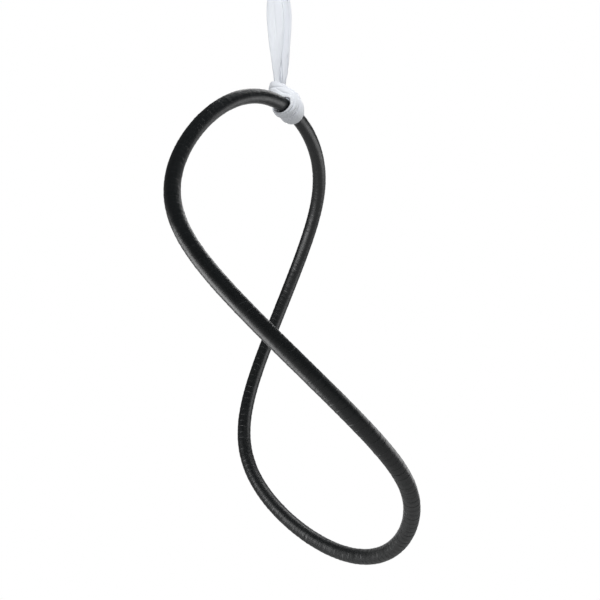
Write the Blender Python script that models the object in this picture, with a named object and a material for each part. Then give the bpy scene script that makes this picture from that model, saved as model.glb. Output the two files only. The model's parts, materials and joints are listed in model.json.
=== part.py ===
"""Aerial sphere: a taped steel loop bent on a sphere, hung by a fabric sling from a swivel.

Metres, +Z up. The origin is the middle of the ceiling plate's top face, and everything hangs below it.
"""
import math

import bmesh
import bpy
from mathutils import Matrix, Vector

# The loop's centreline is a saddle that stays close to a sphere: a long bow, a wide bow and a rise,
# each with the small bends that square it up.
LONG_BOW = 0.4536
LONG_THIRD = -0.0136
LONG_FIFTH = -0.0099
WIDE_BOW = 0.4047
WIDE_THIRD = -0.0128
WIDE_FIFTH = -0.0057
RISE = 0.1427
RISE_FOURTH = -0.0078

# Where the sling holds the loop, and how the loop hangs from there
HITCH_TURN = math.radians(26.09)
HANG_SPIN = math.radians(-1.56)
LINE_OFFSET = 0.0135

# Frame tube, its joints and its tape
TUBE_DIAMETER = 0.0254
TUBE_WALL = 0.002
TAPE_BUILD = 0.002
TUBE_SECTIONS = 4
SECTION_STEPS = 16
TUBE_SIDES = 12
TUBE_GAP = 0.0016
TAPE_GAP = 0.0005
SPIGOT_LENGTH = 0.06
SPIGOT_WALL = 0.002
WELD_DEPTH = 0.0009
WELD_WIDTH = 0.0052

# Clearances
FIT_GAP = 0.0003
PIN_GAP = 0.0003
RUN_GAP = 0.0005
HITCH_GAP = 0.0012
BOW_GAP = 0.0011

# Ceiling plate and its eye
PLATE_SIZE = 0.12
PLATE_THICKNESS = 0.008
PLATE_CORNER = 0.014
BOLT_SPACING = 0.084
BOLT_HOLE = 0.011
EYE_BAR = 0.01
EYE_INNER_RADIUS = 0.0125
EYE_CLEAR_HEIGHT = 0.027
FILLET_LEG = 0.004
FILLET_TOE = 0.0005

# Oval twist-lock carabiner
STOCK = 0.011
BOW_RADIUS = 0.0185
SIDE_LENGTH = 0.06
GATE_RADIUS = 0.005
GATE_WAIST = 0.0036
GATE_PIN_HEIGHT = -0.0215
GATE_TOP_HEIGHT = 0.0235
NOSE_GAP = 0.0006
TONGUE = 0.0036
TONGUE_RADIUS = 0.0042
NOSE_TONGUE_LENGTH = 0.005
NOSE_HALF_WIDTH = 0.0032
NOSE_ROOT_HALF_WIDTH = 0.0038
TONGUE_ROOT = 0.003
PIN_RADIUS = 0.0015
PIN_LENGTH = 0.009
LOCK_OUTER_RADIUS = 0.0078
LOCK_LENGTH = 0.029
LOCK_DROP = 0.0016
LOCK_COLLAR = 0.004
LOCK_LIP = 0.0012
LOCK_RIB_DEPTH = 0.0005
LOCK_RIBS = 12
SPRING_WIRE = 0.0009
SPRING_TURNS = 5
SPRING_RISE = 1.75
WAIST_CHAMFER = 0.0004

# Ball-bearing swivel
RING_BAR = 0.009
RING_INNER_RADIUS = 0.0112
RING_SINK = 0.0035
BARREL_RADIUS = 0.0165
BARREL_HEIGHT = 0.031
BARREL_WALL = 0.003
BARREL_ROOF = 0.006
BARREL_BEVEL = 0.002
CAP_HEIGHT = 0.006
SHANK_RADIUS = 0.0058
SHANK_CHAMFER = 0.0008
THREAD_END = 0.001
RACE_OUTER_RADIUS = 0.0128
RACE_THICKNESS = 0.0025
BALL_RADIUS = 0.0018
TRACK_DEPTH = 0.0006
BALL_COUNT = 9
NUT_FLATS = 0.0185
NUT_HEIGHT = 0.006
SEAL_HEIGHT = 0.002
SEAL_WIDTH = 0.0037
NECK_LENGTH = 0.004
NECK_FLANGE = 0.003
NECK_EDGE = 0.002

# Fabric sling: one endless band, over the lower carabiner's bow and in a cow hitch round the tube
SLING_DROP = 0.33
BOW_WIDTH = 0.017
BOW_THICK = 0.0075
LEG_WIDTH = 0.038
LEG_THICK = 0.01
WRAP_WIDTH = 0.0174
WRAP_THICK = 0.0104
STRAND_GAP = 0.0008
SLING_SIDES = 12
SLING_SPANS = 2
# Each leg from the hitch up: share of the drop, shift in x and y off the straight line and width as
# shares of the leg's full width, thickness as a share of its full thickness, and the way its outer
# face looks in degrees from +X
NEAR_LEG = (
    (0.08, 0.018, 0.037, 0.353, 1.00, 152),
    (0.14, 0.029, 0.058, 0.316, 1.00, 152),
    (0.20, 0.021, 0.016, 0.382, 0.85, 146),
    (0.28, 0.013, -0.132, 0.539, 0.70, 134),
    (0.45, 0.032, -0.211, 0.789, 0.60, 108),
    (0.66, 0.058, -0.174, 1.000, 0.54, 94),
    (0.80, 0.026, -0.111, 0.763, 0.60, 106),
    (0.90, 0.005, -0.047, 0.553, 0.70, 138))
FAR_LEG = (
    (0.08, -0.018, -0.037, 0.353, 1.00, 152),
    (0.14, -0.029, -0.058, 0.316, 1.00, 152),
    (0.20, 0.016, -0.026, 0.382, 0.85, 146),
    (0.28, 0.074, 0.021, 0.474, 0.70, 134),
    (0.45, 0.063, -0.016, 0.526, 0.60, 108),
    (0.66, 0.053, -0.011, 0.684, 0.54, 92),
    (0.80, 0.016, 0.026, 0.605, 0.60, 74),
    (0.90, 0.005, 0.026, 0.500, 0.70, 42))
# One half of the hitch, from its leg under the tube and over it: along the tube as a share of the outer
# strand's place, and degrees round the tube from the top to the legs' side
WRAP_RUN = (
    (0.355, 90), (0.355, 122), (0.42, 155), (0.53, 188), (0.67, 221), (0.80, 254), (0.90, 287), (0.96, 318))
# On to the middle of the bight, which crosses the legs: along the tube as before, out to the side as a
# share of the bight's place, up as a share of the strand's seat, and where the outer face looks, as
# along the tube, to the side and up
BIGHT_RUN = (
    (0.97, -0.09, 1.15, (0.05, -0.6, 0.8)), (0.92, 0.24, 1.54, (0.2, -0.5, 0.8)),
    (0.87, 0.54, 1.90, (0.6, -0.2, 0.6)), (0.77, 0.82, 2.17, (0.85, 0.35, 0.2)),
    (0.46, 1.01, 2.31, (0.4, 0.9, 0.05)), (0.0, 1.05, 2.34, (0.0, 1.0, 0.0)))

UP = Vector((0, 0, 1))
X = Vector((1, 0, 0))
Y = Vector((0, 1, 0))
TAPE_RADIUS = TUBE_DIAMETER / 2 + TAPE_BUILD
STATION = math.tau / TUBE_SECTIONS / SECTION_STEPS
TURN_STEP = 0.001


def clear_scene():
    for obj in list(bpy.data.objects):
        bpy.data.objects.remove(obj, do_unlink=True)


def make_material(name, colour, roughness, metallic=0.0):
    material = bpy.data.materials.new(name)
    material.use_nodes = True
    shader = material.node_tree.nodes["Principled BSDF"]
    shader.inputs["Base Color"].default_value = (*colour, 1.0)
    shader.inputs["Roughness"].default_value = roughness
    shader.inputs["Metallic"].default_value = metallic
    return material


def add_mesh(name, bm, material, parent=None, smooth=35):
    """Turn a bmesh built in world places into an object whose origin is its parent's."""
    bmesh.ops.recalc_face_normals(bm, faces=bm.faces)
    mesh = bpy.data.meshes.new(name)
    bm.to_mesh(mesh)
    bm.free()
    mesh.shade_smooth()
    mesh.set_sharp_from_angle(angle=math.radians(smooth))
    obj = bpy.data.objects.new(name, mesh)
    bpy.context.scene.collection.objects.link(obj)
    obj.data.materials.append(material)
    if parent:
        mesh.transform(parent.matrix_world.inverted())
        obj.parent = parent
    return obj


def add_pivot(name, place):
    pivot = bpy.data.objects.new(name, None)
    pivot.location = place
    bpy.context.scene.collection.objects.link(pivot)
    bpy.context.view_layer.update()
    return pivot


def add_boolean(obj, cutter, operation):
    modifier = obj.modifiers.new(operation.title(), "BOOLEAN")
    modifier.operation = operation
    modifier.object = cutter
    modifier.solver = "EXACT"
    cutter.hide_render = True
    cutter.display_type = "WIRE"
    return modifier


def bridge(bm, first, second):
    count = len(first)
    for i in range(count):
        j = (i + 1) % count
        bm.faces.new((first[i], first[j], second[j], second[i]))


def add_rings(bm, rings, closed=False, caps=True):
    """Join rings of points into a skin; an open one gets end caps unless told otherwise."""
    made = [[bm.verts.new(point) for point in ring] for ring in rings]
    for first, second in zip(made, made[1:]):
        bridge(bm, first, second)
    if closed:
        bridge(bm, made[-1], made[0])
    elif caps:
        bm.faces.new(reversed(made[0]))
        bm.faces.new(made[-1])
    return made


def tube_mesh(outer, inner):
    """An open-ended pipe from two runs of rings."""
    bm = bmesh.new()
    outside = add_rings(bm, outer, caps=False)
    inside = add_rings(bm, inner, caps=False)
    bridge(bm, inside[0], outside[0])
    bridge(bm, outside[-1], inside[-1])
    return bm


def circle(centre, first, second, radius, sides, turn=0.0):
    points = []
    for i in range(sides):
        angle = turn + math.tau * i / sides
        points.append(centre + (first * math.cos(angle) + second * math.sin(angle)) * radius)
    return points


def turned(profile, centre=Vector((0, 0, 0)), axis=UP, side=X, sides=24):
    """Rings of a profile of (radius, height) pairs turned about an axis."""
    across = axis.cross(side)
    return [circle(centre + axis * height, side, across, radius, sides) for radius, height in profile]


def turned_solid(profile, centre=Vector((0, 0, 0)), axis=UP, side=X, sides=24):
    bm = bmesh.new()
    add_rings(bm, turned(profile, centre, axis, side, sides))
    return bm


def turned_ring(profile, centre, axis=UP, side=X, sides=24):
    """A closed profile turned about an axis, with a hole through the middle."""
    bm = bmesh.new()
    add_rings(bm, turned(profile + profile[:1], centre, axis, side, sides), caps=False)
    bmesh.ops.remove_doubles(bm, verts=bm.verts, dist=0.000001)
    return bm


def sweep(points, radius, sides, side_hint, closed=False):
    """Rings of a round bar along a run of points; the hint is a direction square to the run."""
    rings = []
    count = len(points)
    for i, point in enumerate(points):
        before = points[(i - 1) % count] if closed or i else point
        after = points[(i + 1) % count] if closed or i < count - 1 else point
        along = (after - before).normalized()
        across = (side_hint - along * side_hint.dot(along)).normalized()
        rings.append(circle(point, across, along.cross(across), radius, sides))
    return rings


# Loop centreline
def saddle(turn):
    return Vector((
        LONG_BOW * math.cos(turn) + LONG_THIRD * math.cos(3 * turn) + LONG_FIFTH * math.cos(5 * turn),
        WIDE_BOW * math.sin(turn) - WIDE_THIRD * math.sin(3 * turn) + WIDE_FIFTH * math.sin(5 * turn),
        RISE * math.cos(2 * turn) + RISE_FOURTH * math.cos(4 * turn)))


def balance_point(steps=720):
    """The centre of the loop's length, which hangs right below the sling's line."""
    total = Vector((0, 0, 0))
    length = 0.0
    for i in range(steps):
        first = saddle(math.tau * i / steps)
        second = saddle(math.tau * (i + 1) / steps)
        stretch = (second - first).length
        total += (first + second) / 2 * stretch
        length += stretch
    return total / length


def hanging_turn(balance):
    """The rotation from the saddle's own frame to the way it hangs."""
    up = (saddle(HITCH_TURN) - balance).normalized()
    side = (UP - up * up.dot(UP)).normalized()
    basis = Matrix((side, up.cross(side), up))
    reach = (saddle(HITCH_TURN) - balance).length
    line = Vector((LINE_OFFSET, 0, math.sqrt(reach ** 2 - LINE_OFFSET ** 2)))
    lean = UP.rotation_difference(line).to_matrix()
    return lean @ Matrix.Rotation(HANG_SPIN, 3, "Z") @ basis


# Heights down the hanging line, each from the piece above
EYE_FLOOR = -PLATE_THICKNESS - EYE_CLEAR_HEIGHT
UPPER_STOCK = EYE_FLOOR + FIT_GAP + STOCK / 2
CARABINER_REACH = 2 * BOW_RADIUS + SIDE_LENGTH
RING_SEAT = RING_INNER_RADIUS - FIT_GAP - STOCK / 2
UPPER_RING = UPPER_STOCK - CARABINER_REACH - RING_SEAT
BARREL_TOP = UPPER_RING - RING_INNER_RADIUS - RING_BAR + RING_SINK
BARREL_FOOT = BARREL_TOP - BARREL_HEIGHT
LOWER_RING = BARREL_FOOT - NECK_LENGTH - RING_BAR - RING_INNER_RADIUS + RING_SINK
LOWER_STOCK = LOWER_RING - RING_SEAT
SLING_BOW = LOWER_STOCK - CARABINER_REACH
HITCH = Vector((LINE_OFFSET, 0, SLING_BOW - SLING_DROP))

BALANCE = balance_point()
HANG = hanging_turn(BALANCE)
HEART = HITCH + HANG @ (BALANCE - saddle(HITCH_TURN))


def loop_point(turn):
    return HITCH + HANG @ (saddle(turn) - saddle(HITCH_TURN))


def loop_axes(turn):
    """Along the tube, outward from the loop's heart, and across."""
    along = (loop_point(turn + TURN_STEP) - loop_point(turn - TURN_STEP)).normalized()
    outward = loop_point(turn) - HEART
    outward = (outward - along * outward.dot(along)).normalized()
    return along, outward, along.cross(outward)


def loop_ring(turn, radius):
    along, outward, across = loop_axes(turn)
    return circle(loop_point(turn), outward, across, radius, TUBE_SIDES)


def chord_ring(turn, step, radius, length):
    """A ring on the straight facet from one station towards the next, a length along it."""
    share = length / (loop_point(turn + step) - loop_point(turn)).length
    pairs = zip(loop_ring(turn, radius), loop_ring(turn + step, radius))
    return [near.lerp(far, share) for near, far in pairs]


def section_run(index, radius, gap):
    """Rings of one section of the loop, each end drawn in by half the gap."""
    start, end = section_turns(index)
    rings = [loop_ring(start + STATION * i, radius) for i in range(SECTION_STEPS + 1)]
    rings[0] = chord_ring(start, STATION, radius, gap / 2)
    rings[-1] = chord_ring(end, -STATION, radius, gap / 2)
    return rings


def section_turns(index):
    quarter = math.tau / TUBE_SECTIONS
    return index * quarter, (index + 1) * quarter


def hitch_axes(length):
    """The tube's middle a length along from the hitch, with its directions along, sideways and up."""
    turn = HITCH_TURN
    steps = 8
    for _ in range(steps):
        speed = (saddle(turn + TURN_STEP) - saddle(turn - TURN_STEP)).length / (2 * TURN_STEP)
        turn += length / steps / speed
    along, outward, across = loop_axes(turn)
    return loop_point(turn), along, across, outward


# Materials
STEEL = make_material("tube_steel", (0.42, 0.43, 0.45), 0.38, 1.0)
WELD = make_material("weld_steel", (0.36, 0.35, 0.34), 0.5, 1.0)
TAPE = make_material("grip_tape", (0.018, 0.019, 0.021), 0.62)
CLOTH = make_material("sling_fabric", (0.86, 0.88, 0.92), 0.8)
ALLOY = make_material("satin_alloy", (0.62, 0.63, 0.65), 0.32, 1.0)
DARK_ALLOY = make_material("dark_alloy", (0.07, 0.072, 0.078), 0.36, 1.0)
BRIGHT_STEEL = make_material("bright_steel", (0.6, 0.6, 0.61), 0.22, 1.0)
PLATE_PAINT = make_material("plate_zinc", (0.5, 0.51, 0.53), 0.4, 1.0)
SEAL_RUBBER = make_material("seal_rubber", (0.02, 0.02, 0.022), 0.7)


# Frame
def build_tube_section(index, parent):
    start, end = section_turns(index)
    outer_radius = TUBE_DIAMETER / 2
    groove_radius = outer_radius - WELD_DEPTH - FIT_GAP
    mouth = WELD_WIDTH / 2 + FIT_GAP
    outer = section_run(index, outer_radius, 2 * mouth)
    outer.insert(0, chord_ring(start, STATION, groove_radius, TUBE_GAP / 2))
    outer.append(chord_ring(end, -STATION, groove_radius, TUBE_GAP / 2))
    inner = section_run(index, outer_radius - TUBE_WALL, TUBE_GAP)
    add_mesh(f"tube_section_{index + 1}", tube_mesh(outer, inner), STEEL, parent)


def build_spigot(index, parent):
    """A short inner tube that lines up two sections at their joint."""
    joint = section_turns(index)[0]
    outer_radius = TUBE_DIAMETER / 2 - TUBE_WALL - FIT_GAP
    runs = []
    for radius in (outer_radius, outer_radius - SPIGOT_WALL):
        runs.append([
            chord_ring(joint, -STATION, radius, SPIGOT_LENGTH / 2), loop_ring(joint, radius),
            chord_ring(joint, STATION, radius, SPIGOT_LENGTH / 2)])
    add_mesh(f"joint_spigot_{index + 1}", tube_mesh(*runs), STEEL, parent)


def build_weld(index, parent):
    """A bead ground flush in the groove between two sections."""
    joint = section_turns(index)[0]
    outer_radius = TUBE_DIAMETER / 2
    root_radius = outer_radius - WELD_DEPTH
    rings = [
        chord_ring(joint, -STATION, root_radius, TUBE_GAP / 2),
        chord_ring(joint, -STATION, outer_radius, WELD_WIDTH / 2), loop_ring(joint, outer_radius),
        chord_ring(joint, STATION, outer_radius, WELD_WIDTH / 2),
        chord_ring(joint, STATION, root_radius, TUBE_GAP / 2), loop_ring(joint, root_radius)]
    bm = bmesh.new()
    add_rings(bm, rings, closed=True)
    add_mesh(f"weld_bead_{index + 1}", bm, WELD, parent)


def build_tape(index, parent):
    outer = section_run(index, TAPE_RADIUS, TAPE_GAP)
    inner = section_run(index, TUBE_DIAMETER / 2 + FIT_GAP, TAPE_GAP)
    add_mesh(f"grip_tape_{index + 1}", tube_mesh(outer, inner), TAPE, parent)


def build_frame(parent):
    for index in range(TUBE_SECTIONS):
        build_tube_section(index, parent)
        build_spigot(index, parent)
        build_weld(index, parent)
        build_tape(index, parent)


# Ceiling plate
def build_plate():
    half = PLATE_SIZE / 2
    corner_steps = 4
    outline = []
    for quarter in range(4):
        middle = Matrix.Rotation(math.tau * quarter / 4, 3, "Z") @ Vector(
            (half - PLATE_CORNER, half - PLATE_CORNER, 0))
        for i in range(corner_steps + 1):
            angle = math.tau / 4 * (quarter + i / corner_steps)
            outline.append(middle + Vector((math.cos(angle), math.sin(angle), 0)) * PLATE_CORNER)
    bm = bmesh.new()
    add_rings(bm, [outline, [point - UP * PLATE_THICKNESS for point in outline]])
    plate = add_mesh("ceiling_plate", bm, PLATE_PAINT)
    holes = bmesh.new()
    for side_x in (-1, 1):
        for side_y in (-1, 1):
            centre = Vector((side_x, side_y, 0)) * BOLT_SPACING / 2
            reach = PLATE_THICKNESS
            add_rings(holes, turned([(BOLT_HOLE / 2, reach), (BOLT_HOLE / 2, -2 * reach)], centre, sides=20))
    cutter = add_mesh("plate_hole_cutter", holes, PLATE_PAINT)
    add_boolean(plate, cutter, "DIFFERENCE")
    return plate


def eye_centreline():
    """From one foot down, round the bend and up to the other."""
    radius = EYE_INNER_RADIUS + EYE_BAR / 2
    bend = EYE_FLOOR + EYE_INNER_RADIUS
    foot = -PLATE_THICKNESS - FIT_GAP
    steps = 12
    points = [Vector((-radius, 0, foot))]
    for i in range(steps + 1):
        angle = math.pi + math.pi * i / steps
        points.append(Vector((math.cos(angle) * radius, 0, bend + math.sin(angle) * radius)))
    points.append(Vector((radius, 0, foot)))
    return points


def build_eye():
    bm = bmesh.new()
    add_rings(bm, sweep(eye_centreline(), EYE_BAR / 2, 12, Y))
    add_mesh("ceiling_eye", bm, PLATE_PAINT)


def build_eye_welds():
    """Weld fillets where the eye's feet meet the plate."""
    inner = EYE_BAR / 2 + FIT_GAP
    toe = inner + FILLET_TOE
    profile = [(inner, 0), (inner + FILLET_LEG, 0), (toe, -FILLET_LEG), (inner, -FILLET_LEG)]
    for name, side in (("eye_weld_left", -1), ("eye_weld_right", 1)):
        foot = Vector((side * (EYE_INNER_RADIUS + EYE_BAR / 2), 0, -PLATE_THICKNESS - FIT_GAP))
        add_mesh(name, turned_ring(profile, foot, sides=16), WELD)


# Carabiner: its plane is YZ, its gate is on the +Y side
def carabiner_body_run(top_stock):
    """Centreline from the nose over the top, down the spine and round to the gate's foot."""
    top = top_stock - BOW_RADIUS
    foot = top - SIDE_LENGTH
    middle = (top + foot) / 2
    steps = 12
    points = [Vector((0, BOW_RADIUS, middle + GATE_TOP_HEIGHT + NOSE_GAP))]
    for i in range(steps + 1):
        angle = math.pi * i / steps
        points.append(Vector((0, math.cos(angle) * BOW_RADIUS, top + math.sin(angle) * BOW_RADIUS)))
    for i in range(steps + 1):
        angle = math.pi + math.pi * i / steps
        points.append(Vector((0, math.cos(angle) * BOW_RADIUS, foot + math.sin(angle) * BOW_RADIUS)))
    shoulder = middle + GATE_PIN_HEIGHT - GATE_RADIUS - RUN_GAP
    points.append(Vector((0, BOW_RADIUS, shoulder)))
    return points, middle


def build_carabiner(name, top_stock, parent, gate_parent, lock_parent):
    points, middle = carabiner_body_run(top_stock)
    pin_place = Vector((0, BOW_RADIUS, middle + GATE_PIN_HEIGHT))
    gate_top = middle + GATE_TOP_HEIGHT
    bm = bmesh.new()
    add_rings(bm, sweep(points, STOCK / 2, 12, X))
    body = add_mesh(f"{name}_body", bm, ALLOY, parent)

    tongue = bmesh.new()
    half = TONGUE / 2
    shank = GATE_RADIUS + RUN_GAP + TONGUE_ROOT
    outline = [Vector((0, -TONGUE_RADIUS, -shank)), Vector((0, TONGUE_RADIUS, -shank))]
    for i in range(9):
        angle = math.pi * i / 8
        outline.append(Vector((0, math.cos(angle), math.sin(angle))) * TONGUE_RADIUS)
    add_rings(tongue, [[pin_place + point + X * side for point in outline] for side in (-half, half)])
    nose_top = Vector((0, BOW_RADIUS, gate_top + NOSE_GAP))
    nose = [(-NOSE_HALF_WIDTH, -NOSE_TONGUE_LENGTH), (NOSE_HALF_WIDTH, -NOSE_TONGUE_LENGTH),
            (NOSE_ROOT_HALF_WIDTH, TONGUE_ROOT), (-NOSE_ROOT_HALF_WIDTH, TONGUE_ROOT)]
    add_rings(tongue, [[nose_top + Vector((side, across, up)) for across, up in nose] for side in (-half, half)])
    tongues = add_mesh(f"{name}_tongues", tongue, ALLOY, parent)
    add_boolean(body, tongues, "UNION")

    bore = turned_solid([(PIN_RADIUS + PIN_GAP, -STOCK), (PIN_RADIUS + PIN_GAP, STOCK)], pin_place, X, Y, 16)
    bore_cutter = add_mesh(f"{name}_bore_cutter", bore, ALLOY, parent)
    add_boolean(body, bore_cutter, "DIFFERENCE")

    build_gate(name, pin_place, gate_top, gate_parent, bore_cutter)
    pin = turned_solid([(PIN_RADIUS, -PIN_LENGTH / 2), (PIN_RADIUS, PIN_LENGTH / 2)], pin_place, X, Y, 16)
    add_mesh(f"{name}_hinge_pin", pin, BRIGHT_STEEL, parent)
    build_lock_sleeve(name, gate_top, lock_parent)
    build_lock_spring(name, gate_top, gate_parent)


def lock_span(gate_top):
    """Top and foot of the lock sleeve, which passes under the nose as the gate swings."""
    top = gate_top + NOSE_GAP - NOSE_TONGUE_LENGTH - LOCK_DROP
    return top, top - LOCK_LENGTH


def build_gate(name, pin_place, gate_top, parent, bore_cutter):
    foot = lock_span(gate_top)[1]
    profile = []
    for i in range(1, 5):
        angle = math.pi / 2 * i / 4
        profile.append((GATE_RADIUS * math.sin(angle), pin_place.z - GATE_RADIUS * math.cos(angle)))
    waist_foot = foot + LOCK_COLLAR
    waist_top = waist_foot + 2 * WAIST_CHAMFER + (SPRING_TURNS * SPRING_RISE + 2) * SPRING_WIRE + RUN_GAP
    profile += [
        (GATE_RADIUS, waist_foot), (GATE_WAIST, waist_foot + WAIST_CHAMFER),
        (GATE_WAIST, waist_top - WAIST_CHAMFER), (GATE_RADIUS, waist_top), (GATE_RADIUS, gate_top)]
    axis = Vector((0, BOW_RADIUS, 0))
    gate = add_mesh(f"{name}_gate", turned_solid(profile, axis, sides=16), BRIGHT_STEEL, parent)
    half = TONGUE / 2 + FIT_GAP
    slots = bmesh.new()
    low_roof = pin_place.z + TONGUE_RADIUS + RUN_GAP
    nose_floor = gate_top + NOSE_GAP - NOSE_TONGUE_LENGTH - RUN_GAP
    for low, high in ((pin_place.z - STOCK, low_roof), (nose_floor, gate_top + STOCK)):
        corners = [(-half, -STOCK), (half, -STOCK), (half, STOCK), (-half, STOCK)]
        add_rings(slots, [[axis + Vector((x, y, z)) for x, y in corners] for z in (low, high)])
    cutter = add_mesh(f"{name}_slot_cutter", slots, BRIGHT_STEEL, parent)
    add_boolean(gate, cutter, "DIFFERENCE")
    add_boolean(gate, bore_cutter, "DIFFERENCE")


def build_lock_sleeve(name, gate_top, parent):
    top, foot = lock_span(gate_top)
    sides = 2 * LOCK_RIBS
    axis = Vector((0, BOW_RADIUS, 0))
    outer = turned(
        [(LOCK_OUTER_RADIUS - LOCK_LIP, foot), (LOCK_OUTER_RADIUS, foot + LOCK_LIP),
         (LOCK_OUTER_RADIUS, top - LOCK_LIP), (LOCK_OUTER_RADIUS - LOCK_LIP, top)], axis, sides=sides)
    for ring in outer[1:3]:
        for i in range(0, sides, 2):
            ring[i] = ring[i] + (axis + UP * ring[i].z - ring[i]).normalized() * LOCK_RIB_DEPTH
    inner_radius = GATE_RADIUS + RUN_GAP
    inner = turned([
        (inner_radius, foot), (inner_radius, foot + LOCK_LIP), (inner_radius, top - LOCK_LIP),
        (inner_radius, top)], axis, sides=sides)
    add_mesh(f"{name}_lock_sleeve", tube_mesh(outer, inner), DARK_ALLOY, parent)


def build_lock_spring(name, gate_top, parent):
    """The torsion coil in the gate's waist that turns the lock sleeve back."""
    foot = lock_span(gate_top)[1] + LOCK_COLLAR + WAIST_CHAMFER + SPRING_WIRE
    radius = GATE_WAIST + FIT_GAP + SPRING_WIRE / 2
    rise = SPRING_WIRE * SPRING_RISE
    per_turn = 8
    points = []
    for i in range(SPRING_TURNS * per_turn + 1):
        angle = math.tau * i / per_turn
        height = foot + rise * i / per_turn
        points.append(Vector((math.cos(angle) * radius, BOW_RADIUS + math.sin(angle) * radius, height)))
    bm = bmesh.new()
    add_rings(bm, sweep(points, SPRING_WIRE / 2, 5, UP))
    add_mesh(f"{name}_lock_spring", bm, BRIGHT_STEEL, parent)


# Swivel: both rings lie in the XZ plane
def ring_rings(height):
    middle = Vector((0, 0, height))
    radius = RING_INNER_RADIUS + RING_BAR / 2
    steps = 20
    points = [middle + Vector((math.cos(math.tau * i / steps), 0, math.sin(math.tau * i / steps))) * radius
              for i in range(steps)]
    return sweep(points, RING_BAR / 2, 10, Y, closed=True)


def bearing_levels():
    """Heights inside the barrel, from the cap's floor up."""
    floor = BARREL_FOOT + CAP_HEIGHT + FIT_GAP
    lower_top = floor + RACE_THICKNESS
    ball = lower_top + BALL_RADIUS - TRACK_DEPTH + FIT_GAP
    upper_foot = ball + BALL_RADIUS - TRACK_DEPTH + FIT_GAP
    nut_foot = upper_foot + RACE_THICKNESS + FIT_GAP
    return floor, ball, upper_foot, nut_foot


def build_housing(parent):
    bm = turned_solid([
        (BARREL_RADIUS - BARREL_BEVEL, BARREL_TOP), (BARREL_RADIUS, BARREL_TOP - BARREL_BEVEL),
        (BARREL_RADIUS, BARREL_FOOT)])
    housing = add_mesh("swivel_housing", bm, ALLOY, parent)
    ring = bmesh.new()
    add_rings(ring, ring_rings(UPPER_RING), closed=True)
    ring_piece = add_mesh("upper_ring", ring, ALLOY, parent)
    add_boolean(housing, ring_piece, "UNION")
    bore_radius = BARREL_RADIUS - BARREL_WALL
    bore = turned_solid([(bore_radius, BARREL_TOP - BARREL_ROOF), (bore_radius, BARREL_FOOT - BARREL_ROOF)])
    cutter = add_mesh("housing_bore_cutter", bore, ALLOY, parent)
    add_boolean(housing, cutter, "DIFFERENCE")


def build_bearing(housing_body, stem_body):
    floor, ball, upper_foot, nut_foot = bearing_levels()
    cap_outer = BARREL_RADIUS - BARREL_WALL - FIT_GAP
    cap_inner = SHANK_RADIUS + SEAL_WIDTH / 2
    seal_seat = BARREL_FOOT + SEAL_HEIGHT + FIT_GAP
    seal_outer = SHANK_RADIUS + SEAL_WIDTH
    cap = turned_ring([
        (cap_outer, BARREL_FOOT), (cap_outer, BARREL_FOOT + CAP_HEIGHT), (cap_inner, BARREL_FOOT + CAP_HEIGHT),
        (cap_inner, seal_seat), (seal_outer, seal_seat), (seal_outer, BARREL_FOOT)], Vector((0, 0, 0)))
    add_mesh("swivel_end_cap", cap, DARK_ALLOY, housing_body)
    seal = turned_ring([
        (seal_outer - FIT_GAP, BARREL_FOOT), (seal_outer - FIT_GAP, BARREL_FOOT + SEAL_HEIGHT),
        (SHANK_RADIUS + FIT_GAP, BARREL_FOOT + SEAL_HEIGHT), (SHANK_RADIUS + FIT_GAP, BARREL_FOOT)],
        Vector((0, 0, 0)))
    add_mesh("swivel_dust_seal", seal, SEAL_RUBBER, housing_body)

    groove = BALL_RADIUS + FIT_GAP
    track = (RACE_OUTER_RADIUS + SHANK_RADIUS + RUN_GAP) / 2
    inner = SHANK_RADIUS + RUN_GAP
    lower = turned_ring([
        (RACE_OUTER_RADIUS, floor), (RACE_OUTER_RADIUS, floor + RACE_THICKNESS),
        (track + groove, floor + RACE_THICKNESS), (track + groove / 2, floor + RACE_THICKNESS - TRACK_DEPTH),
        (track - groove / 2, floor + RACE_THICKNESS - TRACK_DEPTH), (track - groove, floor + RACE_THICKNESS),
        (inner, floor + RACE_THICKNESS), (inner, floor)], Vector((0, 0, 0)), sides=16)
    add_mesh("bearing_lower_race", lower, BRIGHT_STEEL, housing_body)
    upper = turned_ring([
        (RACE_OUTER_RADIUS - RUN_GAP, upper_foot + RACE_THICKNESS), (RACE_OUTER_RADIUS - RUN_GAP, upper_foot),
        (track + groove, upper_foot), (track + groove / 2, upper_foot + TRACK_DEPTH),
        (track - groove / 2, upper_foot + TRACK_DEPTH), (track - groove, upper_foot),
        (inner, upper_foot), (inner, upper_foot + RACE_THICKNESS)], Vector((0, 0, 0)), sides=16)
    add_mesh("bearing_upper_race", upper, BRIGHT_STEEL, stem_body)
    for i in range(BALL_COUNT):
        angle = math.tau * i / BALL_COUNT
        place = Matrix.Translation((math.cos(angle) * track, math.sin(angle) * track, ball))
        bm = bmesh.new()
        bmesh.ops.create_icosphere(bm, subdivisions=1, radius=BALL_RADIUS, matrix=place)
        add_mesh(f"bearing_ball_{i + 1}", bm, BRIGHT_STEEL, housing_body)

    corner = NUT_FLATS / 2 / math.cos(math.pi / 6)
    hexagon = turned_solid([(corner, nut_foot), (corner, nut_foot + NUT_HEIGHT)], sides=6)
    nut_piece = add_mesh("swivel_nut", hexagon, BRIGHT_STEEL, stem_body)
    nut_bore = turned_solid([
        (SHANK_RADIUS + FIT_GAP, nut_foot - NUT_HEIGHT), (SHANK_RADIUS + FIT_GAP, nut_foot + 2 * NUT_HEIGHT)])
    nut_cutter = add_mesh("nut_bore_cutter", nut_bore, BRIGHT_STEEL, stem_body)
    add_boolean(nut_piece, nut_cutter, "DIFFERENCE")


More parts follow.
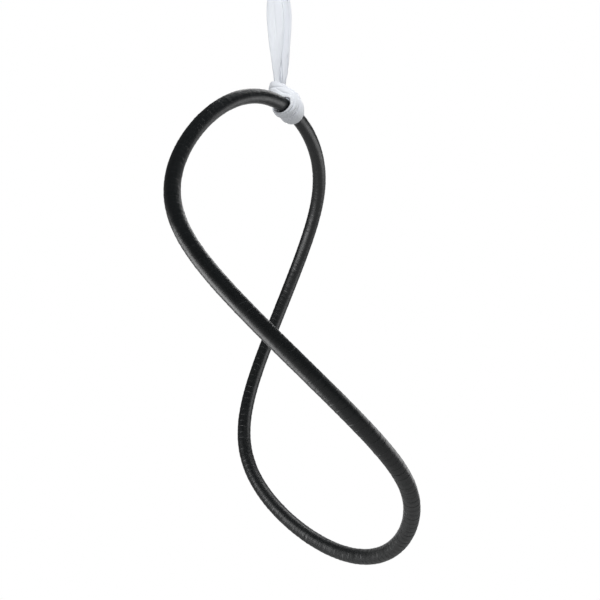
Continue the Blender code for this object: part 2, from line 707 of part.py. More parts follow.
def build_stem(parent):
    nut_foot = bearing_levels()[3]
    top = nut_foot + NUT_HEIGHT + THREAD_END
    ring_top = LOWER_RING + RING_INNER_RADIUS + RING_BAR
    shoulder = BARREL_FOOT - RUN_GAP
    collar = SHANK_RADIUS + NECK_FLANGE
    bm = turned_solid([
        (SHANK_RADIUS - SHANK_CHAMFER, top), (SHANK_RADIUS, top - SHANK_CHAMFER), (SHANK_RADIUS, shoulder),
        (collar, shoulder), (collar, ring_top - NECK_EDGE), (SHANK_RADIUS, ring_top - RING_BAR / 2)])
    stem = add_mesh("swivel_stem", bm, ALLOY, parent)
    ring = bmesh.new()
    add_rings(ring, ring_rings(LOWER_RING), closed=True)
    ring_piece = add_mesh("lower_ring", ring, ALLOY, parent)
    add_boolean(stem, ring_piece, "UNION")


# Sling
def bow_stations():
    """Over the carabiner's bow, from the right leg to the left."""
    radius = STOCK / 2 + BOW_GAP + BOW_THICK / 2
    stations = []
    for angle in (0, 45, 90, 135, 180):
        way = Vector((math.cos(math.radians(angle)), 0, math.sin(math.radians(angle))))
        stations.append((Vector((0, 0, SLING_BOW)) + way * radius, way, BOW_WIDTH, BOW_THICK))
    return stations


def hitch_stations(side):
    """One half of the hitch, from its leg to the middle of the bight."""
    seat = TAPE_RADIUS + HITCH_GAP + WRAP_THICK / 2
    bight = seat + WRAP_THICK + STRAND_GAP
    reach = 1.5 * (WRAP_WIDTH + STRAND_GAP)
    rows = []
    for share, angle in WRAP_RUN:
        sine = math.sin(math.radians(angle))
        cosine = math.cos(math.radians(angle))
        rows.append((share, seat * sine, seat * cosine, (0, sine, cosine)))
    for share, sideways, up, look in BIGHT_RUN:
        rows.append((share, bight * sideways, seat * up, look))
    stations = []
    for share, sideways, up, look in rows:
        middle, along, across, outward = hitch_axes(side * share * reach)
        way = along * look[0] * side + across * look[1] + outward * look[2]
        stations.append((middle + across * sideways + outward * up, way, WRAP_WIDTH, WRAP_THICK))
    return stations


def leg_stations(leg, foot, head):
    stations = []
    for share, shift_x, shift_y, width, thick, look in leg:
        place = foot.lerp(head, share) + Vector((shift_x, shift_y, 0)) * LEG_WIDTH
        way = Vector((math.cos(math.radians(look)), math.sin(math.radians(look)), 0))
        stations.append((place, way, width * LEG_WIDTH, thick * LEG_THICK))
    return stations


def sling_stations():
    """The whole band once round: place, outward way, width and thickness."""
    bow = bow_stations()
    near = hitch_stations(1)
    far = hitch_stations(-1)
    near_leg = leg_stations(NEAR_LEG, near[0][0], bow[-1][0])
    far_leg = leg_stations(FAR_LEG, far[0][0], bow[0][0])
    return bow + near_leg[::-1] + near + far[-2::-1] + far_leg


def through(before, first, second, after, share):
    """A smooth curve through four values, between the middle two."""
    return 0.5 * (
        2 * first + (second - before) * share + (2 * before - 5 * first + 4 * second - after) * share ** 2
        + (3 * first - before - 3 * second + after) * share ** 3)


def build_sling(parent):
    stations = sling_stations()
    count = len(stations)
    samples = []
    for i in range(count):
        four = [stations[(i + k) % count] for k in (-1, 0, 1, 2)]
        for k in range(SLING_SPANS):
            samples.append([through(*values, k / SLING_SPANS) for values in zip(*four)])
    rings = []
    total = len(samples)
    for i, (place, way, width, thick) in enumerate(samples):
        along = (samples[(i + 1) % total][0] - samples[i - 1][0]).normalized()
        outward = (way - along * way.dot(along)).normalized()
        across = along.cross(outward)
        ring = []
        for k in range(SLING_SIDES):
            angle = math.tau * k / SLING_SIDES
            ring.append(place + across * math.cos(angle) * width / 2 + outward * math.sin(angle) * thick / 2)
        rings.append(ring)
    bm = bmesh.new()
    add_rings(bm, rings, closed=True)
    add_mesh("sling", bm, CLOTH, parent)


def main():
    frame_pivot = add_pivot("frame_rock", HITCH)
    build_plate()
    build_eye()
    build_eye_welds()
    upper_pivot = add_pivot("upper_carabiner_swing", Vector((0, 0, UPPER_STOCK)))
    housing_pivot = add_pivot("swivel_tilt", Vector((0, 0, UPPER_STOCK - BOW_RADIUS - SIDE_LENGTH)))
    stem_pivot = add_pivot("swivel_spin", Vector((0, 0, BARREL_FOOT)))
    lower_pivot = add_pivot("lower_carabiner_swing", Vector((0, 0, LOWER_STOCK - BOW_RADIUS)))
    for name, stock, pivot in (
            ("upper_carabiner", UPPER_STOCK, upper_pivot), ("lower_carabiner", LOWER_STOCK, lower_pivot)):
        middle = stock - BOW_RADIUS - SIDE_LENGTH / 2
        gate_pivot = add_pivot(f"{name}_gate_hinge", Vector((0, BOW_RADIUS, middle + GATE_PIN_HEIGHT)))
        lock_pivot = add_pivot(f"{name}_lock_turn", Vector((0, BOW_RADIUS, middle)))
        build_carabiner(name, stock, pivot, gate_pivot, lock_pivot)
    build_housing(housing_pivot)
    build_bearing(housing_pivot, stem_pivot)
    build_stem(stem_pivot)
    build_sling(add_pivot("sling_swing", Vector((0, 0, SLING_BOW))))
    build_frame(frame_pivot)


clear_scene()
main()
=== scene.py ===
"""Looks of the aerial sphere: a taped steel loop, its gathered cloth sling, and the swivel and
carabiners above."""

import json
from math import cos, pi, radians, sin, sqrt, tau

import bmesh
import bpy
import numpy as np
from mathutils import Matrix, Vector


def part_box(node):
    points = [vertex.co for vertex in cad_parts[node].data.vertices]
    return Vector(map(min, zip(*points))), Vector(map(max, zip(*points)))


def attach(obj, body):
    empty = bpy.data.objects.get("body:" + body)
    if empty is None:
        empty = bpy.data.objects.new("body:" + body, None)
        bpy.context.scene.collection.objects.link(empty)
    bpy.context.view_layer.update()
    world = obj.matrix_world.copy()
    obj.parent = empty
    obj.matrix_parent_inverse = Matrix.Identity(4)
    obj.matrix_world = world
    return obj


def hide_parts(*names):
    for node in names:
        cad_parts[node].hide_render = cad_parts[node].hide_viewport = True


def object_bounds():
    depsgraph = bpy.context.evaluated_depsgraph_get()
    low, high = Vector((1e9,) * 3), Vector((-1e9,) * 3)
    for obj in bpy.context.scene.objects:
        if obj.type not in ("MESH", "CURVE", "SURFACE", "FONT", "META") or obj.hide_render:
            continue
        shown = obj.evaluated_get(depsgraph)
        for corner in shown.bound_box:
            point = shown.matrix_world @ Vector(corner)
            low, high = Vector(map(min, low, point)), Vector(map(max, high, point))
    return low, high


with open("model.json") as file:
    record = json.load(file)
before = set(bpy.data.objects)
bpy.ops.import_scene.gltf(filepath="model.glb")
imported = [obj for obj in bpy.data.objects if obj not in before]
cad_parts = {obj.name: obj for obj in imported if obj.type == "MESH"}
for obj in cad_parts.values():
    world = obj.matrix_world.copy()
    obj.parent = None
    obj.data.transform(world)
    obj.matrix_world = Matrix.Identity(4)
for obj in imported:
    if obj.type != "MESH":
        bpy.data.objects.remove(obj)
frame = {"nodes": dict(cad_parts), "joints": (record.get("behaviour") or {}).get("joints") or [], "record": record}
cad_low, cad_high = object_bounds()

# Loop centreline, as the frame has it: a long bow, a wide bow and a rise, each with its small bends
LONG_BOW = (0.4536, -0.0136, -0.0099)
WIDE_BOW = (0.4047, -0.0128, -0.0057)
RISE = (0.1427, -0.0078)
HITCH_TURN = radians(26.09)
HANG_SPIN = radians(-1.56)
LOOP_POINTS = 7201
TURN_STEP = 0.001

# Tape: one strip wound round the whole loop. A step that varies keeps the strip's radius at this level
# of its height
TAPE_RADIUS = 0.0147
TAPE_PITCH = 0.0147
TAPE_STEP = 0.0003
TAPE_LEVEL = 0.25
TAPE_SIDES = 40
TAPE_SEED = 4
# Rows of points across one pitch, and how high the strip stands at places across it: its open edge, the
# ridge of the edge it covers, then down
TAPE_ROWS = (0.0, 0.015, 0.08, 0.20, 0.34, 0.44, 0.50, 0.56, 0.64, 0.78, 0.90, 0.975)
TAPE_PROFILE = (
    (0.0, 0.05, 0.40, 0.50, 0.60, 0.94, 0.975, 1.0), (1.0, 0.96, 0.62, 0.66, 0.36, 0.10, 0.0, 1.0))
# Unevenness: its size, how many waves it has, and the turns of each round the loop and round the tube.
# The edge wanders by pitches, the step varies by shares of itself and the strip swells by metres
TAPE_WANDER = (0.045, 10, (20, 160), (-3, 4))
TAPE_STEP_DRIFT = (0.28, 8, (30, 190), (-2, 3))
TAPE_SWELL = (0.00007, 14, (10, 420), (-4, 5))
# Painted highlight along the open edge: across the pitch to here, and on steps from this share of the full one
EDGE_HIGHLIGHT_REACH = 0.03
EDGE_HIGHLIGHT_FROM = 0.75

# Sling, in the frame's own sizes
TAPE_CLEARANCE = 0.0012
BOW_CLEARANCE = 0.0011
STOCK = 0.011
BOW_WIDTH = 0.017
BOW_THICK = 0.0075
LEG_WIDTH = 0.038
LEG_THICK = 0.01
WRAP_THICK = 0.0104
CLOTH_WIDTH = 0.105
CLOTH_THICKNESS = 0.00035
CLOTH_SPANS = 12
CLOTH_SEED = 11
# Cloth by the hitch is kept this far from the tube's middle; how much of the tube that looks at, in how
# many points, how far from the hitch, and in how many batches
CLOTH_REST = 0.0157
SPINE_REACH = 0.1
SPINE_POINTS = 401
HITCH_REACH = 0.09
REST_BATCHES = 64
# Columns of points in the outer layer, in the middle and inner ones, and in each fold between two
OUTER_COLUMNS = 84
INNER_COLUMNS = 40
FOLD_COLUMNS = 5
# Where the outer and the inner layer start round a strand, in degrees, and how far round they go
OUTER_SWING = (232, -260)
INNER_SWING = (196, 122)
# A strand is loose up to this half-thickness, and tight when it is that much more
LOOSE_HALF = 0.0026
TIGHT_MORE = 0.0022
LOOSE_PULL = 0.35
# The inner layer lies this far inside. The middle one has a share of the strand's width, a tilt and a
# sway as shares of its thickness, and so many waves
INNER_SETBACK = 0.0009
MIDDLE_WIDTH = 0.8
MIDDLE_TILT = 0.1
MIDDLE_SWAY = 0.3
MIDDLE_WAVES = 2.5
# Corners that the two folds bend to, as shares of a strand's half-width and half-thickness
RIGHT_FOLD = (0.86, -0.12)
LEFT_FOLD = (-0.93, 0.02)
# Strewn creases: how many, then the range of their half-length, width across and depth
LONG_CREASES = (16, (0.02, 0.05), (0.02, 0.04), (0.0005, 0.0014))
SHORT_CREASES = (60, (0.006, 0.014), (0.012, 0.03), (0.0002, 0.0007))
INNER_CREASES = (30, (0.01, 0.04), (0.03, 0.06), (0.0004, 0.0014))
CREASE_PLACES = (0.08, 0.92)
CREASE_LEAN = (-0.1, 0.1)
CREASE_ROUNDING = 0.02
CREASE_FALL = 1.4
CLOTH_RIPPLE = (0.00012, 24, (3, 60), (3, 12))

# Turned pieces end in a hole this small at their poles, and a rounded corner takes up to this share of
# its two sides
POLE = 0.0002
CORNER_SHARE = 0.45

# Carabiners
BOW_RADIUS = 0.0185
SIDE_LENGTH = 0.06
GATE_RADIUS = 0.005
GATE_WAIST = 0.0036
GATE_PIN_HEIGHT = -0.0215
GATE_TOP_HEIGHT = 0.0235
NOSE_GAP = 0.0006
TONGUE = 0.0036
TONGUE_RADIUS = 0.0042
TONGUE_ROOT = 0.003
NOSE_TONGUE_LENGTH = 0.005
NOSE_HALF_WIDTH = 0.0032
TONGUE_GAP = 0.0005
SLOT_CLEARANCE = 0.0003
NOSE_EASE = 0.0009
BAR_EASE = 0.0006
BAR_LIP_ANGLES = (0, 0.4, 0.9, 1.57)
PIN_RADIUS = 0.0015
PIN_CLEARANCE = 0.0002
PIN_LENGTH = 0.009
EDGE_EASE = 0.0004
WAIST_LIFT = 0.004
WAIST_LENGTH = 0.0108
LOCK_OUTER_RADIUS = 0.0078
LOCK_BORE_GAP = 0.0005
LOCK_RIB_DEPTH = 0.0005
LOCK_RIBS = 24
FLUTE_LIFT = 0.35
# One end of the sleeve: how far in from its radius, how far from its end, and whether the ribs show
LOCK_END = (
    (0.0012, 0.0, 0), (0.0004, 0.0004, 0), (0.0, 0.0012, 0), (0.0, 0.0034, 0), (0.0004, 0.0038, 0),
    (0.0004, 0.0042, 0), (0.0, 0.0048, 1))

# Swivel
RING_BAR = 0.009
RING_INNER_RADIUS = 0.0112
BARREL_RADIUS = 0.0165
BARREL_HEIGHT = 0.031
BARREL_WALL = 0.003
BARREL_ROOF = 0.006
# The barrel's edge and groove: how far in from its radius, then down from its top or up from its foot
BARREL_TOP = ((0.002, 0.0), (0.0, 0.002), (0.0, 0.006), (0.0006, 0.0066), (0.0006, 0.0078), (0.0, 0.0084))
BARREL_FOOT = ((0.0, 0.0064), (0.0006, 0.0058), (0.0006, 0.0046), (0.0, 0.004), (0.0, 0.0006), (0.0006, 0.0))
SHANK_RADIUS = 0.0058
SHANK_CHAMFER = 0.0008
NECK_FLANGE = 0.003
NECK_EDGE = 0.002
NECK_GAP = 0.0005
CAP_CLEARANCE = 0.00185
CAP_HOLES = 4
CAP_HOLE_RADIUS = 0.0007
CAP_HOLE_DEPTH = 0.0022
SEAL_GAP = 0.0003
SEAL_LIP = 0.0005
SEAL_LIP_INNER = 0.0012
SEAL_LIP_OUTER = 0.0008

# Plate and eye
PLATE_CORNER = 0.014
PLATE_BEVEL = 0.0008
BOLT_SPACING = 0.084
BOLT_HOLE = 0.011
HOLE_EASE = 0.0006
CUT_PAST = 0.001
EYE_BAR = 0.01
EYE_INNER_RADIUS = 0.0125
# Weld fillet: gap to the bar, leg, least toe and bulge, then its ripples and lumps, each as a size and a
# count round the bar
FILLET_GAP = 0.0003
FILLET_LEG = 0.004
FILLET_TOE = 0.0004
FILLET_BULGE = 0.12
FILLET_RIPPLES = (0.03, 26)
FILLET_LUMPS = (0.04, 5)

# Camera, set off from the hitch, and the studio
CAMERA_OFFSET = Vector((0.011, -2.020, -0.982))
CAMERA_PITCH = radians(15.89)
CAMERA_ROLL = radians(-1.76)
CAMERA_REACH = 1079 / 600
SENSOR = 36
FLOOR_DROP = 1.1
FLOOR_RADIUS = 20
# The room's light, and as gloss shows it; the floor's white to the camera, and in gloss; and where what
# gloss mirrors starts to be, then is, white paper
ROOM_LIGHT = 0.5
ROOM_IN_GLOSS = 0.06
FLOOR_WHITE = 0.75
FLOOR_IN_GLOSS = 0.05
PAPER_EDGE = (0.7, 1.0)
# Lamps, each by where it stands from the loop's heart (degrees round from the camera's side, degrees
# up, metres away), its size in metres, its power in watts and whether it shows only in gloss or else
# lights only matt surfaces
LAMPS = (
    ("fill", 20, 42, 2.6, 2.0, 38, False),
    ("back_fill", 195, 30, 2.6, 2.0, 24, False),
    ("left", -80, -4, 1.0, 0.65, 6, True),
    ("left_low", -74, -38, 1.0, 0.8, 9, True),
    ("right", 108, 6, 0.95, 0.8, 4.5, True),
    ("back_high", 160, 58, 1.6, 0.8, 8, True))

# Most of a noise's values lie between these
NOISE_SPAN = (0.3, 0.7)
TAPE_THREAD = 0.0006
CLOTH_THREAD = 0.00045
# Metals by their slots: name, dark and light tone, roughness and brushed way, then the scale of the
# marks and their depth where they aren't the usual ones
METALS = {
    "satin_alloy": ("satin_aluminium", (0.55, 0.56, 0.58), (0.70, 0.71, 0.73), 0.30, (1, 1, 0.05)),
    "dark_alloy": ("dark_anodised", (0.045, 0.047, 0.052), (0.095, 0.098, 0.105), 0.34, (1, 1, 0.08)),
    "bright_steel": ("bright_steel_finish", (0.50, 0.50, 0.51), (0.66, 0.66, 0.67), 0.22, (1, 1, 0.1)),
    "tube_steel": ("mill_steel", (0.34, 0.35, 0.37), (0.48, 0.49, 0.51), 0.4, (1, 1, 0.2)),
    "weld_steel": ("weld_bead_steel", (0.28, 0.27, 0.26), (0.44, 0.43, 0.42), 0.45, (1, 1, 1), 60, 0.0001)}

ORIGIN = Vector((0, 0, 0))
UP = Vector((0, 0, 1))
X = Vector((1, 0, 0))
Y = Vector((0, 1, 0))


def pivot(name):
    """Where a joint turns, in the frame."""
    return Vector(next(joint["pos_m"] for joint in frame["joints"] if joint["name"] == name))


HITCH = pivot("frame_rock")
SLING_BOW = pivot("sling_swing").z


# Materials
def new_material(name, colour, roughness, metallic=0.0, **values):
    """A material, its tree of nodes and its shader, with any other inputs by their names."""
    material = bpy.data.materials.new(name)
    material.use_nodes = True
    tree = material.node_tree
    shader = tree.nodes["Principled BSDF"]
    shader.inputs["Base Color"].default_value = (*colour, 1)
    shader.inputs["Roughness"].default_value = roughness
    shader.inputs["Metallic"].default_value = metallic
    for key, value in values.items():
        shader.inputs[key.replace("_", " ")].default_value = value
    return material, tree, shader


def feed(node, name, value):
    """Link a node's output to another's input."""
    node.id_data.links.new(value, node.inputs[name])


def add_node(tree, kind, inputs=None, **settings):
    """A shader node with its settings, and inputs that are values or another node's output."""
    node = tree.nodes.new("ShaderNode" + kind)
    for key, value in settings.items():
        setattr(node, key, value)
    for key, value in (inputs or {}).items():
        if isinstance(value, bpy.types.NodeSocket):
            tree.links.new(value, node.inputs[key])
        else:
            node.inputs[key].default_value = value
    return node


def math_node(tree, operation, first, second=0.0):
    return add_node(tree, "Math", {0: first, 1: second}, operation=operation).outputs[0]


def object_place(tree):
    return add_node(tree, "TexCoord").outputs["Object"]


def noise_of(tree, where, scale, detail=3.0, roughness=0.5, stretch=(1, 1, 1)):
    mapping = add_node(tree, "Mapping", {"Vector": where, "Scale": stretch})
    inputs = {"Vector": mapping.outputs[0], "Scale": scale, "Detail": detail, "Roughness": roughness}
    return add_node(tree, "TexNoise", inputs).outputs["Fac"]


def spread(tree, value, low, high, start=0.0, end=1.0):
    """A value carried from one range to another."""
    inputs = {"Value": value, "From Min": start, "From Max": end, "To Min": low, "To Max": high}
    return add_node(tree, "MapRange", inputs).outputs[0]


def colour_between(tree, factor, dark, light):
    """A mix of two colours, the dark one a colour or a node's output."""
    dark = dark if isinstance(dark, bpy.types.NodeSocket) else (*dark, 1)
    return add_node(tree, "Mix", {"Factor": factor, 6: dark, 7: (*light, 1)}, data_type="RGBA").outputs[2]


def add_bump(shader, height, distance, strength, under=None):
    inputs = {"Height": height, "Distance": distance, "Strength": strength}
    if under:
        inputs["Normal"] = under.outputs[0]
    bump = add_node(shader.id_data, "Bump", inputs)
    feed(shader, "Normal", bump.outputs[0])
    return bump


def woven(tree, where, thread):
    """Height of a plain weave whose threads lie a given width apart."""
    parts = add_node(tree, "SeparateXYZ", {0: where})
    waves = [
        math_node(tree, "SINE", math_node(tree, "MULTIPLY", parts.outputs[axis], pi / thread))
        for axis in (0, 1)]
    return math_node(tree, "MULTIPLY", *waves)


def tape_material():
    """Black cloth tape, unevenly polished, with a painted highlight along its open edge."""
    material, tree, shader = new_material(
        "grip_tape_cloth", (0.009, 0.010, 0.011), 0.5, Specular_IOR_Level=0.5, Sheen_Weight=0.04,
        Sheen_Roughness=0.3)
    uv = add_node(tree, "UVMap", uv_map="winding").outputs[0]
    edge = add_node(tree, "Attribute", attribute_name="tape_edge_highlight").outputs["Fac"]
    patches = noise_of(tree, uv, 30, 4, 0.6)
    base = colour_between(tree, patches, (0.0035, 0.0046, 0.0052), (0.007, 0.009, 0.0102))
    highlight_breakup = noise_of(tree, uv, 900, 2, 0.6, (1, 0.2, 1))
    # Painted highlight: the strip's open edge is coloured lighter, broken up by fine noise
    painted_highlight = math_node(tree, "MULTIPLY", edge, spread(tree, highlight_breakup, 0, 0.5, 0.45, 0.7))
    feed(shader, "Base Color", colour_between(tree, painted_highlight, base, (0.14, 0.15, 0.16)))
    feed(shader, "Roughness", spread(tree, noise_of(tree, uv, 55), 0.36, 0.46, *NOISE_SPAN))
    weave = add_bump(shader, woven(tree, uv, TAPE_THREAD), 0.00002, 0.3)
    add_bump(shader, noise_of(tree, uv, 120, 2, 0.4, (1, 0.25, 1)), 0.00012, 0.15, weave)
    return material


def cloth_material():
    """White nylon tricot, faintly blue, with a fine knit and drawn lines along the band."""
    material, tree, shader = new_material(
        "sling_cloth", (0.86, 0.88, 0.94), 0.55, Specular_IOR_Level=0.35, Sheen_Weight=0.15,
        Sheen_Roughness=0.35)
    uv = add_node(tree, "UVMap", uv_map="cloth").outputs[0]
    streaks = noise_of(tree, uv, 60, stretch=(1, 0.08, 1))
    feed(shader, "Base Color", colour_between(tree, streaks, (0.82, 0.84, 0.92), (0.885, 0.925, 0.945)))
    knit = add_bump(shader, woven(tree, uv, CLOTH_THREAD), 0.00004, 0.4)
    add_bump(shader, noise_of(tree, uv, 140, 3, 0.55, (1, 0.12, 1)), 0.00025, 0.5, knit)
    return material


def metal_material(name, dark, light, roughness, brush, scale=90.0, depth=0.00002):
    """Metal with drifting tone, uneven polish and fine marks along the brushed way."""
    material, tree, shader = new_material(name, light, roughness, 1.0)
    where = object_place(tree)
    tone = spread(tree, noise_of(tree, where, 45, 4, 0.55), 0, 1, *NOISE_SPAN)
    feed(shader, "Base Color", colour_between(tree, tone, dark, light))
    marks = noise_of(tree, where, scale * 8, 3, 0.6, brush)
    feed(shader, "Roughness", spread(tree, marks, roughness * 0.75, roughness * 1.3, *NOISE_SPAN))
    add_bump(shader, marks, depth, 0.4)
    return material


def zinc_material():
    """Galvanised steel: spangle in soft patches."""
    material, tree, shader = new_material("galvanised", (0.5, 0.51, 0.53), 0.42, 0.7)
    where = object_place(tree)
    cells = add_node(tree, "TexVoronoi", {"Vector": where, "Scale": 210})
    grey = add_node(tree, "SeparateColor", {0: cells.outputs["Color"]}).outputs[0]
    feed(shader, "Base Color", colour_between(tree, grey, (0.44, 0.45, 0.47), (0.58, 0.59, 0.61)))
    feed(shader, "Roughness", spread(tree, grey, 0.34, 0.52))
    add_bump(shader, noise_of(tree, where, 400), 0.00004, 0.5)
    return material


def rubber_material():
    material, tree, shader = new_material("seal_black", (0.02, 0.02, 0.022), 0.65)
    grain = noise_of(tree, object_place(tree), 900, 3, 0.6)
    feed(shader, "Base Color", colour_between(tree, grain, (0.014, 0.014, 0.016), (0.032, 0.032, 0.034)))
    add_bump(shader, grain, 0.00003, 0.5)
    return material


FINISH = {"grip_tape": tape_material(), "sling_fabric": cloth_material()}
for slot, values in METALS.items():
    FINISH[slot] = metal_material(*values)
FINISH["plate_zinc"] = zinc_material()
FINISH["seal_rubber"] = rubber_material()


# Mesh helpers
def add_object(name, data):
    made = bpy.data.objects.new(name, data)
    bpy.context.scene.collection.objects.link(made)
    return made


def add_piece(name, mesh, slot, body, nodes, sharp=35):
    """A finished piece: shaded, finished from its slot, riding on its body and standing for its nodes."""
    mesh.shade_smooth()
    mesh.set_sharp_from_angle(angle=radians(sharp))
    piece = add_object(name, mesh)
    mesh.materials.clear()
    mesh.materials.append(FINISH[slot])
    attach(piece, body)
    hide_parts(*nodes)
    return piece


def mesh_of(bm, name="form"):
    bmesh.ops.recalc_face_normals(bm, faces=bm.faces)
    mesh = bpy.data.meshes.new(name)
    bm.to_mesh(mesh)
    bm.free()
    return mesh


def evenly(start, sweep, steps):
    """Even steps over a sweep, with both of its ends."""
    return [start + sweep * i / steps for i in range(steps + 1)]


def spoke(angle):
    """The level direction at an angle from +X."""
    return Vector((cos(angle), sin(angle), 0))


def arc(centre, first, second, radius, angles):
    return [centre + (first * cos(a) + second * sin(a)) * radius for a in angles]


def circle(centre, first, second, radius, sides):
    return arc(centre, first, second, radius, evenly(0, tau, sides)[:-1])


def bridged(rings, closed=False):
    """A skin through rings of points, capped at both ends unless it closes up."""
    bm = bmesh.new()
    made = [[bm.verts.new(point) for point in ring] for ring in rings]
    pairs = list(zip(made, made[1:])) + ([(made[-1], made[0])] if closed else [])
    for first, second in pairs:
        for i in range(len(first)):
            j = (i + 1) % len(first)
            bm.faces.new((first[i], first[j], second[j], second[i]))
    if not closed:
        bm.faces.new(reversed(made[0]))
        bm.faces.new(made[-1])
    return mesh_of(bm)


def turned(profile, centre=ORIGIN, axis=UP, side=X, sides=64, closed=False):
    """A profile of (radius, height) pairs turned about an axis; a closed one leaves a hole."""
    across = axis.cross(side)
    rings = [circle(centre + axis * height, side, across, radius, sides) for radius, height in profile]
    return bridged(rings, closed=closed)


def eased(profile, ease, closed=False, steps=3):
    """The same profile with each corner rounded by a small arc."""
    points = [Vector(point) for point in profile]
    count = len(points)
    made = []
    for i, corner in enumerate(points):
        if not closed and i in (0, count - 1):
            made.append(tuple(corner))
            continue
        before = points[(i - 1) % count] - corner
        after = points[(i + 1) % count] - corner
        reach = min(ease, before.length * CORNER_SHARE, after.length * CORNER_SHARE)
        start = corner + before.normalized() * reach
        end = corner + after.normalized() * reach
        for t in evenly(0, 1, steps):
            made.append(tuple(start * (1 - t) ** 2 + corner * 2 * t * (1 - t) + end * t ** 2))
    return made


def swept(points, radii, sides, hint, closed=False):
    """A round bar along a run of points, with a radius for each."""
    count = len(points)
    rings = []
    for i, point in enumerate(points):
        before = points[(i - 1) % count] if closed or i else point
        after = points[(i + 1) % count] if closed or i < count - 1 else point
        along = (after - before).normalized()
        across = (hint - along * hint.dot(along)).normalized()
        rings.append(circle(point, across, along.cross(across), radii[i], sides))
    return bridged(rings, closed=closed)


def joined(base, steps):
    """A mesh after a run of Booleans, each an operation and the mesh it is done with."""
    target = add_object("target", base)
    tools = []
    for operation, mesh in steps:
        tool = add_object("tool", mesh)
        tool.hide_render = True
        modifier = target.modifiers.new(operation, "BOOLEAN")
        modifier.operation = operation
        modifier.object = tool
        modifier.solver = "EXACT"
        tools.append(tool)
    bpy.context.view_layer.update()
    result = bpy.data.meshes.new_from_object(target.evaluated_get(bpy.context.evaluated_depsgraph_get()))
    for obj in [target, *tools]:
        bpy.data.objects.remove(obj, do_unlink=True)
    return result


# Loop centreline, as arrays
def saddle(turn):
    return np.stack([
        sum(size * np.cos((2 * k + 1) * turn) for k, size in enumerate(LONG_BOW)),
        sum(size * (-1) ** k * np.sin((2 * k + 1) * turn) for k, size in enumerate(WIDE_BOW)),
        sum(size * np.cos((2 * k + 2) * turn) for k, size in enumerate(RISE))], -1)


def unit(vectors):
    return vectors / np.linalg.norm(vectors, axis=-1, keepdims=True)


LOOP_TURNS = np.linspace(0, tau, LOOP_POINTS)


def measure_loop():
    """Length along the loop at each turn, its middle, and the rotation to the way it hangs."""
    points = saddle(LOOP_TURNS)
    stretches = np.linalg.norm(np.diff(points, axis=0), axis=1)
    middle = ((points[1:] + points[:-1]) / 2 * stretches[:, None]).sum(0) / stretches.sum()
    lengths = np.concatenate([[0], np.cumsum(stretches)])
    hitch = Vector(saddle(HITCH_TURN))
    up = (hitch - Vector(middle)).normalized()
    side = (UP - up * up.dot(UP)).normalized()
    basis = Matrix((side, up.cross(side), up))
    reach = (hitch - Vector(middle)).length
    line = Vector((HITCH.x, 0, sqrt(reach ** 2 - HITCH.x ** 2)))
    lean = UP.rotation_difference(line).to_matrix()
    return lengths, middle, np.array(lean @ Matrix.Rotation(HANG_SPIN, 3, "Z") @ basis)


LOOP_LENGTHS, LOOP_MIDDLE, HANG = measure_loop()
HEART = np.array(HITCH) + (LOOP_MIDDLE - saddle(HITCH_TURN)) @ HANG.T
HITCH_LENGTH = np.interp(HITCH_TURN, LOOP_TURNS, LOOP_LENGTHS)


def loop_points(turn):
    return np.array(HITCH) + (saddle(turn) - saddle(HITCH_TURN)) @ HANG.T


def loop_axes(turn):
    """Along the tube, outward from the loop's heart, and across."""
    along = unit(loop_points(turn + TURN_STEP) - loop_points(turn - TURN_STEP))
    outward = loop_points(turn) - HEART
    outward = unit(outward - along * (outward * along).sum(-1, keepdims=True))
    return along, outward, np.cross(along, outward)


def turn_at(length):
    """The turn at a length along the loop from its start."""
    whole = LOOP_LENGTHS[-1]
    return np.interp(length % whole, LOOP_LENGTHS, LOOP_TURNS) + np.floor(length / whole) * tau


def drift(rng, around, across, size, count, around_range, across_range):
    """Smooth seeded noise from waves that close up on both of their ways round."""
    total = 0.0
    for _ in range(count):
        first = rng.integers(*around_range)
        second = rng.integers(*across_range)
        total = total + np.sin(first * around + second * across + rng.uniform(0, tau))
    return size * (total / sqrt(count / 2))


def closed_skin(name, points, number, uv_name, corners):
    """A mesh through a grid of numbered points that closes up along its first way. The corners are each
    face's four, as lengths along two ways of the flat material."""
    mesh = bpy.data.meshes.new(name)
    after = np.roll(number, -1, axis=0)
    faces = np.stack([number[:, :-1], number[:, 1:], after[:, 1:], after[:, :-1]], -1)
    mesh.from_pydata(points.reshape(-1, 3), [], faces.reshape(-1, 4).tolist())
    corners = np.stack([np.stack(np.broadcast_arrays(*corner), -1) for corner in corners], 2)
    mesh.uv_layers.new(name=uv_name).data.foreach_set("uv", corners.astype(np.float32).ravel())
    return mesh


